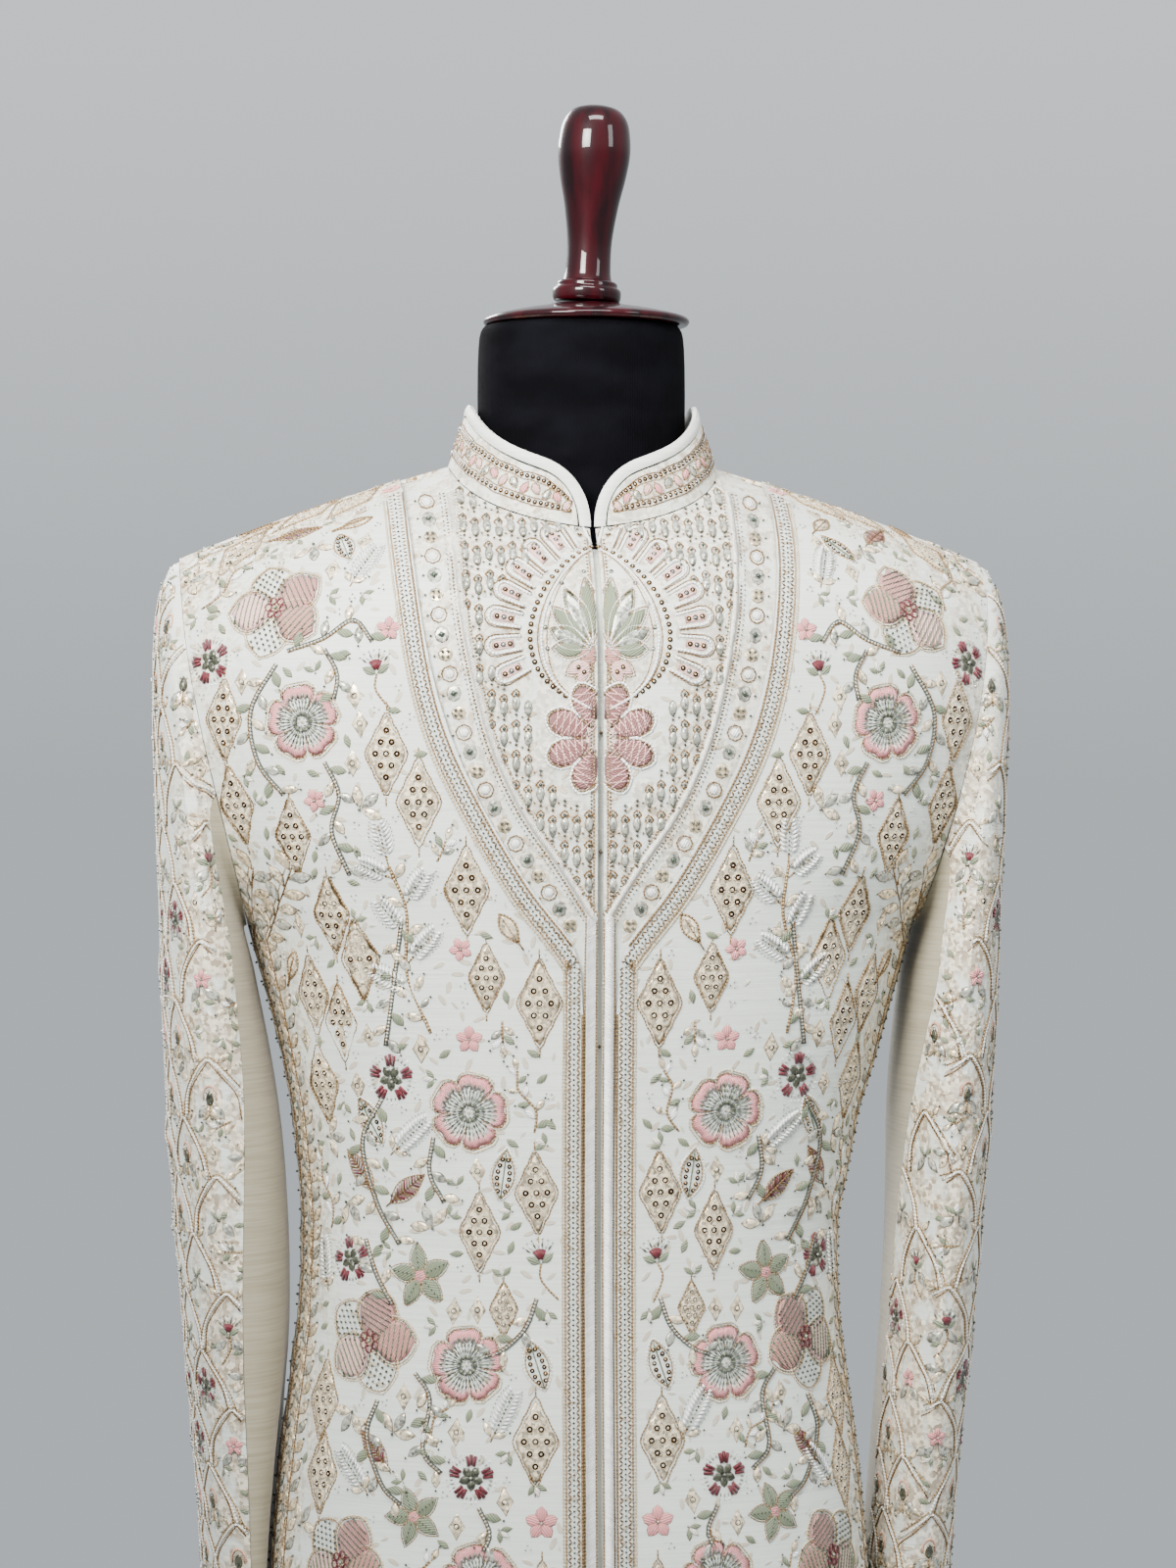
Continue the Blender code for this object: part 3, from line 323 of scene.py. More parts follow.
# %% [markdown]
# ## The cloth panels
# On the coat each panel is cut, padded and sewn to the next. Here each starts as a copy of
# its packed wall. The copy's doubles are merged, its triangles joined to quads, its sharp
# edges creased, and Subdivision Surface rounds it. All panels then move by one shared field
# of soft folds, so that two neighbours at a seam still meet.

# %% The fold field
def ease(start, end, value):
    t = np.clip((value - start) / (end - start), 0, 1)
    return t * t * (3 - 2 * t)


def ridge(u, z, row):
    """A soft ridge along a line in (u, z): row is start u, z, end u, z, width, height."""
    u0, z0, u1, z1, width, height = row
    along = ((u - u0) * (u1 - u0) + (z - z0) * (z1 - z0)) / ((u1 - u0) ** 2 + (z1 - z0) ** 2)
    t = np.clip(along, 0, 1)
    far = np.hypot(u - u0 - t * (u1 - u0), z - z0 - t * (z1 - z0))
    return height * np.exp(-((far / width) ** 2)) * np.sin(np.pi * np.clip(t, 0.04, 0.96))


# start u, start z, end u, end z, width, height (u runs round the body from the front middle)
BODY_FOLDS = (
    (-0.215, 1.105, -0.10, 1.165, 0.010, 0.0032),
    (-0.235, 1.060, -0.12, 1.085, 0.009, 0.0028),
    (-0.230, 1.010, -0.13, 0.990, 0.010, 0.0026),
    (-0.170, 1.250, -0.09, 1.215, 0.008, 0.0018),
    (-0.185, 1.200, -0.11, 1.190, 0.009, 0.0020),
    (-0.150, 0.930, -0.06, 0.905, 0.011, 0.0016),
    (0.225, 1.115, 0.11, 1.160, 0.010, 0.0030),
    (0.240, 1.045, 0.13, 1.080, 0.010, 0.0028),
    (0.225, 0.995, 0.12, 0.985, 0.009, 0.0024),
    (0.175, 1.240, 0.10, 1.205, 0.009, 0.0018),
    (0.160, 0.915, 0.07, 0.930, 0.011, 0.0016),
    (0.330, 1.150, 0.43, 1.060, 0.014, 0.0034),
    (-0.330, 1.140, -0.44, 1.040, 0.014, 0.0030),
    (0.310, 1.020, 0.40, 0.960, 0.013, 0.0026),
    (-0.320, 1.000, -0.42, 0.950, 0.012, 0.0028),
)
FOLD_RADIUS = 0.15
FOLD_EDGE = 0.03


def body_folds(points):
    """How far each point of the body moves out, in metres."""
    u = np.arctan2(points[:, 0], -points[:, 1]) * FOLD_RADIUS
    z = points[:, 2]
    out = sum(ridge(u, z, row) for row in BODY_FOLDS)
    waves = 0.5 + 0.5 * np.sin(u * 34 + 1.1 + 0.6 * np.sin(u * 11))
    out = out + 0.0042 * waves * ease(0.98, 0.50, z)
    near_opening = ease(FOLD_EDGE, FOLD_EDGE + 0.03, np.abs(u))
    near_back_seam = ease(0.0, 0.03, math.pi * FOLD_RADIUS - np.abs(u))
    under_arm = 1 - ease(0.15, 0.20, np.abs(u)) * ease(1.12, 1.19, z)
    return out * near_opening * near_back_seam * under_arm * (1 - ease(1.26, 1.33, z))


SLEEVE_AXIS_Z = (0.775, 0.95, 1.16, 1.29, 1.40)
SLEEVE_AXIS_X = (0.190, 0.196, 0.212, 0.205, 0.200)
SLEEVE_AXIS_Y = (0.030, 0.015, 0.005, 0.0, 0.0)
SLEEVE_RADIUS = 0.06
# angle from straight out, height, angle, height, width, height of the ridge
SLEEVE_FOLDS = (
    (-1.3, 1.140, 0.9, 1.175, 0.009, 0.0020),
    (-1.4, 1.085, 0.7, 1.055, 0.009, 0.0024),
    (-1.2, 1.005, 0.9, 1.030, 0.008, 0.0022),
    (-1.5, 0.960, 0.4, 0.930, 0.008, 0.0020),
    (-0.9, 0.885, 1.1, 0.900, 0.009, 0.0018),
    (-1.3, 1.245, 0.2, 1.215, 0.010, 0.0016),
    (0.6, 1.100, 1.9, 1.140, 0.010, 0.0022),
    (0.5, 0.990, 1.8, 0.960, 0.010, 0.0020),
)


def sleeve_folds(points):
    side = np.sign(points[:, 0])
    z = points[:, 2]
    out_x = points[:, 0] * side - np.interp(z, SLEEVE_AXIS_Z, SLEEVE_AXIS_X)
    out_y = points[:, 1] - np.interp(z, SLEEVE_AXIS_Z, SLEEVE_AXIS_Y)
    angle = np.arctan2(out_y, out_x)
    shift = 0.006 * (side > 0)
    total = 0
    for a0, z0, a1, z1, width, height in SLEEVE_FOLDS:
        row = (a0 * SLEEVE_RADIUS, z0, a1 * SLEEVE_RADIUS, z1, width, height)
        total = total + ridge(angle * SLEEVE_RADIUS, z + shift, row)
    away_from_body = ease(-0.1, 0.5, np.cos(angle))
    return total * away_from_body * (1 - ease(1.22, 1.28, z)) * ease(0.775, 0.80, z)


def outward(points, part):
    """The direction out of the garment at each point: from the body's, sleeve's or neck's axis."""
    away = points.copy()
    if part == "sleeve":
        side = np.sign(points[:, 0])
        away[:, 0] -= side * np.interp(points[:, 2], SLEEVE_AXIS_Z, SLEEVE_AXIS_X)
        away[:, 1] -= np.interp(points[:, 2], SLEEVE_AXIS_Z, SLEEVE_AXIS_Y)
        away[:, 2] = np.maximum(points[:, 2] - 1.33, 0)
    elif part == "neck":
        away[:, 2] = 0
    else:
        away[:, 2] = np.maximum(points[:, 2] - 1.30, 0)
    return away / np.maximum(np.linalg.norm(away, axis=1), 1e-9)[:, None]


print("folds:", len(BODY_FOLDS), "on the body,", len(SLEEVE_FOLDS), "on a sleeve")

# %% [markdown]
# ### One shell for each panel
# Flat pieces could be draped on the form, but this coat is fitted and lined, so its form is
# known already. Each packed wall is rounded in place and moved by the folds. Its inner side
# takes the lining, and an attribute marks where its side seams carry dense work; on the
# body's sides, where the panel turns away, the net it lays is partly painted shade.

# %% Panel shells
CREASE_ANGLE = math.radians(42)
SMOOTH_LEVELS = 1
skins = {}


def read(items, name):
    """A property of three numbers of every item, as rows."""
    values = np.zeros(len(items) * 3, np.float32)
    items.foreach_get(name, values)
    return values.reshape(-1, 3)


def merged_copy(node, name):
    """A copy of a CAD node's mesh with its doubles merged and its triangles joined."""
    mesh = frame["nodes"][node].data.copy()
    mesh.materials.clear()
    piece = bpy.data.objects.new(name, mesh)
    bpy.context.scene.collection.objects.link(piece)
    bpy.ops.object.select_all(action="DESELECT")
    piece.select_set(True)
    bpy.context.view_layer.objects.active = piece
    bpy.ops.object.mode_set(mode="EDIT")
    bpy.ops.mesh.select_all(action="SELECT")
    bpy.ops.mesh.customdata_custom_splitnormals_clear()
    bpy.ops.mesh.remove_doubles(threshold=0.00001)
    bpy.ops.mesh.tris_convert_to_quads(
        face_threshold=math.radians(60), shape_threshold=math.radians(60)
    )
    bpy.ops.mesh.select_all(action="DESELECT")
    bpy.ops.mesh.select_mode(type="EDGE")
    bpy.ops.mesh.edges_select_sharp(sharpness=CREASE_ANGLE)
    bpy.ops.object.mode_set(mode="OBJECT")
    return piece


def rounded(piece, levels):
    """Creases the selected edges, then subdivides and applies."""
    count = len(piece.data.edges)
    chosen = np.zeros(count, bool)
    piece.data.edges.foreach_get("select", chosen)
    crease = piece.data.attributes.new("crease_edge", "FLOAT", "EDGE")
    crease.data.foreach_set("value", chosen.astype(np.float32))
    smooth = piece.modifiers.new("round", "SUBSURF")
    smooth.levels = smooth.render_levels = levels
    bpy.ops.object.modifier_apply(modifier="round")


SIDE_SEAM_TURN = 92
BIB_FOOT = 1.18
BINDING_SWELL = 0.0005


def panel(node, part, finish, inside=None):
    """The dressed piece of one cloth node: rounded, folded, with a lined inner skin."""
    piece = merged_copy(node, node + "_cloth")
    rounded(piece, SMOOTH_LEVELS)
    mesh = piece.data
    points = read(mesh.vertices, "co").astype(float)
    away = outward(points, part)
    flat_away = away * (1, 1, 0)
    flat_away /= np.maximum(np.linalg.norm(flat_away, axis=1), 1e-9)[:, None]
    if part == "body":
        points += flat_away * body_folds(points)[:, None]
    elif part == "sleeve":
        points += flat_away * sleeve_folds(points)[:, None]
    if node == "collar_binding":
        points += read(mesh.vertices, "normal") * BINDING_SWELL
    mesh.vertices.foreach_set("co", points.astype(np.float32).ravel())
    mesh.update()
    # On the body the dense work peaks at the side seams, where the sides turn away: its dark net there
    # is partly painted shade.
    turn = np.degrees(np.arctan2(np.abs(points[:, 0]), -points[:, 1]))
    if part == "body":
        worked = np.clip(1 - (np.abs(turn - SIDE_SEAM_TURN) - 10) / 16, 0, 1)
        if node.startswith("front_inner"):
            worked = 0.45 * np.clip((points[:, 2] - BIB_FOOT) / 0.02, 0, 1)
    elif part == "sleeve":
        round_arm = np.degrees(np.arctan2(np.abs(away[:, 1]), away[:, 0] * np.sign(points[:, 0])))
        worked = 0.75 * np.clip((round_arm - 58) / 20, 0, 1)
    else:
        worked = np.full(len(points), 0.5)
    dense_work_and_side_shade = mesh.attributes.new("dense_work_and_side_shade", "FLOAT", "POINT")
    dense_work_and_side_shade.data.foreach_set("value", worked.astype(np.float32))
    mesh.materials.append(finish.material)
    mesh.materials.append((inside or finish).material)
    centres = read(mesh.polygons, "center").astype(float)
    facing = (outward(centres, part) * read(mesh.polygons, "normal")).sum(1)
    mesh.polygons.foreach_set("material_index", (facing < -0.25).astype(np.int32))
    bpy.ops.object.shade_smooth_by_angle(angle=math.radians(40))
    shown = [tuple(p.vertices) for p, f in zip(mesh.polygons, facing) if f > 0.2]
    skins[node] = {
        "piece": piece,
        "tree": BVHTree.FromPolygons(points.tolist(), shown),
        "points": points,
        "faces": shown,
        "stitches": {},
        "pads": [],
    }
    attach(piece, "root")
    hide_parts(node)
    return piece


CLOTHS = (
    # node, part, finish, inner finish, slot
    ("front_outer", "body", ivory_silk, lining, "embroidered_silk"),
    ("front_inner", "body", ivory_silk, lining, "bib_silk"),
    ("back", "body", ivory_silk, lining, "embroidered_silk"),
    ("sleeve_upper", "sleeve", ivory_silk, lining, "embroidered_silk"),
    ("sleeve_under", "sleeve", plain_silk, lining, "plain_silk"),
)
for node, part, finish, inside, slot in CLOTHS:
    for side in ("right", "left"):
        panel(node + "_" + side, part, finish, inside)
panel("placket_underlap", "body", underlap_silk)
panel("collar", "neck", ivory_silk)
panel("collar_lining", "neck", lining)
panel("collar_binding", "neck", binding_silk)
print("panels:", len(skins), "faces:", sum(len(s["piece"].data.polygons) for s in skins.values()))

# %% [markdown]
# ## The form, its cap and its finial
# The form is a padded shell under black jersey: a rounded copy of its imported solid. The cap
# and the finial are turned on a lathe, and Spin is Blender's lathe: half a profile is drawn
# by extruding one corner point by point, and then it is spun round the piece's own axis.

# %% Form and turned wood
form_cover = merged_copy("form_torso", "form_jersey_cover")
rounded(form_cover, 1)
form_cover.data.materials.append(jersey.material)
bpy.ops.object.shade_smooth_by_angle(angle=math.radians(50))
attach(form_cover, "root")
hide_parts("form_torso")

TURN_STEPS = 96


def turned(name, base, lean, profile, finish, node):
    """A turned piece: profile is (height, radius) along an axis that leans towards +X."""
    axis = Vector((math.sin(lean), 0, math.cos(lean)))
    across = Vector((math.cos(lean), 0, -math.sin(lean)))
    corners = [Vector(base) + axis * height + across * radius for height, radius in profile]
    bpy.ops.object.select_all(action="DESELECT")
    bpy.ops.mesh.primitive_plane_add(size=0.001, location=corners[0])
    piece = bpy.context.object
    piece.name = name
    bpy.ops.object.mode_set(mode="EDIT")
    bpy.ops.mesh.select_mode(type="VERT")
    bpy.ops.mesh.select_all(action="SELECT")
    bpy.ops.mesh.merge(type="CENTER")
    for before, after in zip(corners, corners[1:]):
        bpy.ops.mesh.extrude_region_move(TRANSFORM_OT_translate={"value": after - before})
    bpy.ops.mesh.select_all(action="SELECT")
    bpy.ops.mesh.spin(steps=TURN_STEPS, angle=math.tau, center=base, axis=axis)
    bpy.ops.mesh.select_all(action="SELECT")
    bpy.ops.mesh.remove_doubles(threshold=0.00002)
    bpy.ops.mesh.normals_make_consistent(inside=False)
    bpy.ops.object.mode_set(mode="OBJECT")
    bpy.ops.object.transform_apply(location=True, rotation=True, scale=True)
    piece.data.materials.append(finish.material)
    bpy.ops.object.shade_smooth_by_angle(angle=math.radians(38))
    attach(piece, "root")
    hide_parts(node)
    return piece


def through(points, before, after, steps):
    """A smooth line through the points; before and after steer its two ends."""
    ends = [before, *points, after]
    line = []
    for a, b, c, d in zip(ends, ends[1:], ends[2:], ends[3:]):
        for i in range(steps):
            t = i / steps
            line.append(0.5 * (2 * b + (c - a) * t + (2 * a - 5 * b + 4 * c - d) * t * t
                               + (3 * b - a - 3 * c + d) * t ** 3))
    return np.array([*line, points[-1]])


def softened(*profile, steps=4):
    """A turned profile's corners, made round."""
    points = [Vector(corner) for corner in profile]
    return [tuple(corner) for corner in through(points, points[0], points[-1], steps)]

cap_low, cap_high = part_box("neck_cap")
CAP_X = (cap_low.x + cap_high.x) / 2
CAP_RADIUS = (cap_high.x - cap_low.x) / 2
CAP_RIM = 0.0045
CAP_THICK = cap_high.z - cap_low.z
cap_profile = [(0, 0), (0, CAP_RADIUS - 0.0030)] + softened(
    (0.0006, CAP_RADIUS - 0.0010),
    (0.0022, CAP_RADIUS),
    (CAP_RIM - 0.0008, CAP_RADIUS - 0.0004),
    (CAP_RIM + 0.0006, CAP_RADIUS - 0.0026),
    (0.0072, CAP_RADIUS - 0.0105),
    (0.0096, CAP_RADIUS - 0.0220),
    (0.0112, 0.0265),
    (CAP_THICK, 0.0215),
) + [(CAP_THICK, 0)]
cap_base = (CAP_X, 0, cap_low.z)
turned("neck_cap_turned", cap_base, 0, cap_profile, lacquer, "neck_cap")

FINIAL_LEAN = math.radians(3)
fin_low, fin_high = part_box("finial")
finial_profile = [(0, 0), (0, 0.0180)]
finial_profile += softened((0.0006, 0.0188), (0.0025, 0.0195), (0.0062, 0.0196), (0.0078, 0.0188))
finial_profile += softened((0.0082, 0.0178), (0.0090, 0.0174), (0.0108, 0.0172), (0.0118, 0.0160))
finial_profile += softened(
    (0.0124, 0.0140), (0.018, 0.0130), (0.035, 0.0129), (0.055, 0.0155), (0.072, 0.0190),
    (0.086, 0.0208), (0.099, 0.0197), (0.106, 0.0172), (0.1105, 0.0128), (0.1125, 0.0070), steps=5,
)
finial_profile += [(0.1130, 0)]
finial_base = (CAP_X, 0, fin_low.z + 0.0010)
turned("turned_finial", finial_base, FINIAL_LEAN, finial_profile, lacquer, "finial")

base_low, base_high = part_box("stand_base")
BASE_RADIUS = base_high.x
base_profile = [(0, 0), (0, BASE_RADIUS - 0.002), (0.0006, BASE_RADIUS - 0.0006)] + softened(
    (0.002, BASE_RADIUS), (0.005, BASE_RADIUS), (0.0075, BASE_RADIUS - 0.003),
    (0.010, BASE_RADIUS - 0.030), (0.013, 0.09), (0.0165, 0.030), (base_high.z, 0.0215),
) + [(base_high.z, 0)]
turned("round_base", (0, 0, 0), 0, base_profile, steel, "stand_base")
pole_low, pole_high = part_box("stand_pole")
POLE_LONG = pole_high.z - pole_low.z
pole_profile = [
    (0, 0), (0, 0.0200), (0.003, 0.0208), (0.010, 0.0208), (0.012, 0.0196), (0.0125, 0.0150),
    (POLE_LONG, 0.0150), (POLE_LONG, 0),
]
turned("stand_tube", (0, 0, pole_low.z), 0, pole_profile, steel, "stand_pole")
print("cap", round(CAP_RADIUS * 2000), "mm across")

# %% [markdown]
# ## The stitches
# Real embroidery is thousands of small things laid one by one: a satin stitch, a short
# knotted stitch, a bead, a sequin. A modifier could scatter them, but a pattern needs each in
# its place. So each kind is modelled once, with as few faces as its roundness allows, and
# its copies are laid by the pattern and joined to one mesh for each panel.

# %% Model each stitch once
def stitch_model(piece):
    """Takes a finished little model as arrays of corners and triangles, and removes it."""
    bpy.ops.object.mode_set(mode="EDIT")
    bpy.ops.mesh.select_all(action="SELECT")
    bpy.ops.mesh.normals_make_consistent(inside=False)
    bpy.ops.mesh.quads_convert_to_tris()
    bpy.ops.object.mode_set(mode="OBJECT")
    bpy.ops.object.transform_apply(location=True, rotation=True, scale=True)
    corners = np.array([v.co for v in piece.data.vertices])
    triangles = np.array([p.vertices for p in piece.data.polygons])
    bpy.data.objects.remove(piece)
    return corners, triangles


def select_where(piece, wanted):
    """Selects the corners for which wanted(place) is true, and enters edit mode."""
    bpy.ops.object.mode_set(mode="EDIT")
    bpy.ops.mesh.select_mode(type="VERT")
    bpy.ops.mesh.select_all(action="DESELECT")
    bpy.ops.object.mode_set(mode="OBJECT")
    for vertex in piece.data.vertices:
        vertex.select = wanted(vertex.co)
    bpy.ops.object.mode_set(mode="EDIT")


bpy.ops.object.select_all(action="DESELECT")
# a satin stitch lies flat, one unit long, with its thread standing up like a low roof
bpy.ops.mesh.primitive_cylinder_add(vertices=3, radius=0.577, depth=1, location=(0, 0, 0))
satin_thread = bpy.context.object
bpy.ops.object.mode_set(mode="EDIT")
bpy.ops.transform.rotate(value=math.radians(90), orient_axis="Y", center_override=(0, 0, 0))
bpy.ops.object.mode_set(mode="OBJECT")
satin_model = stitch_model(satin_thread)

# a seed stitch is a small spindle
bpy.ops.mesh.primitive_cone_add(vertices=3, radius1=0.577, depth=0.5, end_fill_type="NOTHING")
seed_thread = bpy.context.object
bpy.ops.object.mode_set(mode="EDIT")
bpy.ops.transform.translate(value=(0, 0, 0.25))
bpy.ops.transform.rotate(value=math.radians(90), orient_axis="Y", center_override=(0, 0, 0))
bpy.ops.object.mode_set(mode="OBJECT")
seed_thread.modifiers.new("other_half", "MIRROR")
bpy.ops.object.modifier_apply(modifier="other_half")
seed_model = stitch_model(seed_thread)

# a bead is a small double cone, round enough with smooth shading
bpy.ops.mesh.primitive_cone_add(vertices=4, radius1=0.5, depth=0.5, end_fill_type="TRIFAN")
bead_ball = bpy.context.object
select_where(bead_ball, lambda place: place.z < -0.2 and math.hypot(place.x, place.y) < 0.1)
bpy.ops.transform.translate(value=(0, 0, -0.5))
bpy.ops.object.mode_set(mode="OBJECT")
bead_model = stitch_model(bead_ball)

# a sequin is a dished disc: a flat cone on its point, whose open end sinks to the middle
bpy.ops.mesh.primitive_cone_add(vertices=7, radius1=0.5, depth=1, end_fill_type="TRIFAN")
sequin_disc = bpy.context.object
bpy.ops.object.mode_set(mode="EDIT")
bpy.ops.mesh.select_all(action="SELECT")
bpy.ops.transform.rotate(value=math.pi, orient_axis="X", center_override=(0, 0, 0))
bpy.ops.object.mode_set(mode="OBJECT")
select_where(sequin_disc, lambda place: place.z > 0.4 and math.hypot(place.x, place.y) < 0.1)
bpy.ops.transform.translate(value=(0, 0, -0.55))
bpy.ops.object.mode_set(mode="OBJECT")
sequin_model = stitch_model(sequin_disc)


def seated(model):
    """Puts a model on its lowest corner: one unit across, from 0 to 1 high."""
    corners, triangles = model
    low, high = corners.min(0), corners.max(0)
    middle = (low + high) / 2
    middle[2] = low[2]
    return (corners - middle) / (high - low), triangles


STITCH_MODELS = {
    "satin": seated(satin_model),
    "seed": seated(seed_model),
    "bead": seated(bead_model),
    "sequin": seated(sequin_model),
}
for kind, (corners, triangles) in STITCH_MODELS.items():
    print(kind, len(triangles), "triangles")

# %% [markdown]
# ### Thread, metal and glass
# Silk thread has a soft sheen, zari is thread wound with metal, sequins are stamped foil,
# beads are glass and a netted patch is beads and metal thread. The colour of each stitch is
# kept in an attribute of its mesh, so that five materials serve every colour.

# %% Thread finishes
LAY_PITCH = 1.25
TWIST_PITCH = 2.0
BEAD_CELLS = 620


def thread_finish(name, roughness, grain, low, high, **sockets):
    """Each stitch's own colour times a factor from low to high, waved along its grain or drawn per cell
    of a net: painted shade between threads and twists, and painted glint above one; in the net partly
    the beads' own random tone.
    """
    made = Finish(name, (200, 200, 200), roughness, **sockets)
    if grain == "lay":
        lay = made.node("Attribute", attribute_name="thread_lay").outputs["Fac"]
        grey = made.calc("SINE", made.calc("MULTIPLY", lay, math.tau / LAY_PITCH))
        darkest, distance = -1, 0.0003
    else:
        grey = made.node("SeparateXYZ", made.cells(BEAD_CELLS, 0.6).outputs["Color"])
        darkest, distance = 0, 0.0006
    shade = made.node("MapRange", grey, darkest, 1, low, high)
    colour = made.node("Attribute", attribute_name="thread_colour")
    made.feed(made.node("VectorMath", colour, operation="SCALE", Scale=shade), made.base)
    made.bump(grey, distance, 0.7)
    return made


# Low and high paint light: below one is painted shade between threads and twists, and above one (zari
# to 1.45, the net to 1.5) is painted glint of metal and beads.
THREADS = (
    thread_finish("silk_thread", 0.5, "lay", 0.78, 1.06, Sheen_Weight=0.2),
    thread_finish("zari_metal_thread", 0.34, "lay", 0.45, 1.45, Metallic=0.35),
    thread_finish("sequin_foil", 0.18, "lay", 1.0, 1.0, Metallic=0.9),
    thread_finish("bead_glass", 0.1, "lay", 1.0, 1.0, Metallic=0.4, Coat_Weight=0.6),
    thread_finish("beaded_metal_net", 0.26, "net", 0.35, 1.5, Metallic=0.3),
)
SILK, ZARI, SEQUIN, BEAD, NET = range(len(THREADS))

TONES = {
    "white": (252, 252, 248), "ivory": (236, 231, 218), "cream": (208, 190, 158),
    "rose": (224, 146, 146), "blush": (230, 184, 176), "dusty": (188, 134, 124),
    "mauve": (138, 90, 86), "burgundy": (98, 0, 20), "sage": (122, 132, 104),
    "moss": (96, 106, 76), "silver": (170, 170, 158), "zari": (158, 130, 92),
    "gold": (128, 98, 60), "bronze": (80, 56, 30), "peach": (222, 170, 140),
    "pine": (58, 72, 58), "pewter": (74, 76, 62), "sand": (224, 209, 180),
}
METAL_TONES = ("zari", "gold", "silver", "bronze")
NET_TONES = ("sand", "silver", "cream", "pewter")
TONE_NAMES = list(TONES)
TONE_VALUES = np.array([linear(TONES[name])[:3] for name in TONE_NAMES])
TONE_AT = {name: i for i, name in enumerate(TONE_NAMES)}
print("thread colours:", len(TONES))

# %% [markdown]
# ## The hoop
# An embroiderer stretches a patch of cloth in a hoop and works on it as if it were flat. This
# hoop does the same: it stands on the cloth at a point, with a right, an up and a height, and
# takes places in millimetres. A ray finds the cloth under each stitch, and where there is
# none, past a seam or an edge, the stitch is left out.

# %% The hoop
SINK = 0.12
STEEPEST = 0.35
SHORTEST_STEP = 3.2
INWARDS = (1, 0.8, 0.6, 0.4, 0.2, 0)


class Hoop:
    """A flat patch over one panel. right and up are the patch's directions, in metres a mm."""

    def __init__(self, node, anchor, normal, turn=0.0, flip=1, size=1.0, reach=0.02):
        self.node, self.anchor, self.normal, self.reach = node, anchor, normal, reach
        self.tree = skins[node]["tree"]
        up = Vector((0, 0, 1)) - normal * normal.z
        if up.length < 0.05:
            up = Vector((0, -1, 0)) - normal * -normal.y
        up.normalize()
        right = up.cross(normal) * flip
        turn = math.radians(turn)
        step = MM * size
        self.right = (right * math.cos(turn) + up * math.sin(turn)) * step
        self.up = (up * math.cos(turn) - right * math.sin(turn)) * step
        self.size = size

    def spot(self, x, y):
        """The cloth under (x, y): its point, its normal, and the patch's two directions."""
        over = self.anchor + self.right * x + self.up * y + self.normal * self.reach
        point, normal, _, _ = self.tree.ray_cast(over, -self.normal, 2 * self.reach)
        if point is None or normal.dot(self.normal) < STEEPEST:
            return None
        return point, normal, self.right, self.up

    def lay(self, kind, x, y, dx, dy, length, width, height, tone, lift=0.0):
        """Lays one stitch with its middle at (x, y), along (dx, dy); sizes in mm."""
        found = self.spot(x, y)
        if found is None:
            return
        point, normal, right, up = found
        along = right * dx + up * dy
        along = along - normal * along.dot(normal)
        if along.length < 1e-9:
            return
        along.normalize()
        point = point + normal * (lift * MM)
        row = (*point, *along, *normal, length, width, height, TONE_AT[tone])
        thread = ZARI if tone in METAL_TONES else SILK
        finish = {"sequin": SEQUIN, "bead": BEAD}.get(kind, thread)
        skins[self.node]["stitches"].setdefault((kind, finish), []).append(row)

    def satin(self, x, y, dx, dy, length, tone, width=0.8, height=0.42):
        self.lay("satin", x, y, dx, dy, length * self.size, width, height, tone)

    def seed(self, x, y, dx, dy, length, tone, width=0.85, height=0.65):
        self.lay("seed", x, y, dx, dy, length, width, height, tone)

    def bead(self, x, y, across, tone, lift=0.0):
        self.lay("bead", x, y, 1, 0, across, across, across, tone, lift)

    def beads(self, radius, turns, across, tone):
        """Beads at a radius from the middle, one at each turn in radians."""
        for turn in turns:
            self.bead(radius * math.cos(turn), radius * math.sin(turn), across, tone)

    def sequin(self, x, y, across, tone="gold", lift=0.0):
        self.lay("sequin", x, y, 1, 0, across, across, 0.55, tone, lift)
        self.bead(x, y, across * 0.36, "white", 0.3 + lift)

    def run(self, points, tone, step=3.4, width=0.85, height=0.65, closed=False):
        """A couched thread along the points: one closed strip with three sides."""
        points = np.asarray(points, float)
        if closed:
            points = np.vstack([points, points[:1]])
        length = np.hypot(*np.diff(points, axis=0).T).sum() * self.size
        step = min(max(step, SHORTEST_STEP), length / (7 if closed else 2))
        line = []
        for x, y in stations(points, step / self.size):
            found = self.spot(x, y)
            if found:
                line.append(found[:2])
            else:
                self.strip(line, tone, width, height)
                line = []
        self.strip(line, tone, width, height)

    def rim(self, shape, grow, *look):
        """A thread round a shape, at a distance from its outline."""
        self.run(grown(shape, grow) if grow else shape, *look, closed=True)

    def strip(self, line, tone, width, height):
        """Three rows of corners along found places of the cloth: two low and one high."""
        last = len(line) - 1
        if last < 1:
            return
        places, lays, run = [], [], 0.0
        for i, (point, normal) in enumerate(line):
            before = line[max(i - 1, 0)][0]
            ahead = line[min(i + 1, last)][0] - before
            across = normal.cross(ahead).normalized() * (width / 2 * MM)
            run += (point - before).length / MM
            low = point - normal * (SINK * MM)
            places += [low - across, low + across, point + normal * (height * MM)]
            lays += [run * LAY_PITCH / TWIST_PITCH] * 3
        faces = [(0, 2, 1), (3 * last, 3 * last + 1, 3 * last + 2)]
        for a in range(0, 3 * last, 3):
            b = a + 3
            faces += [(a, b, b + 2), (a, b + 2, a + 2), (a + 1, a + 2, b + 2)]
            faces += [(a + 1, b + 2, b + 1), (a, a + 1, b + 1), (a, b + 1, b)]
        finish = ZARI if tone in METAL_TONES else SILK
        tones = [TONE_AT[tone]] * len(places)
        skins[self.node]["pads"].append((places, faces, tones, lays, finish))

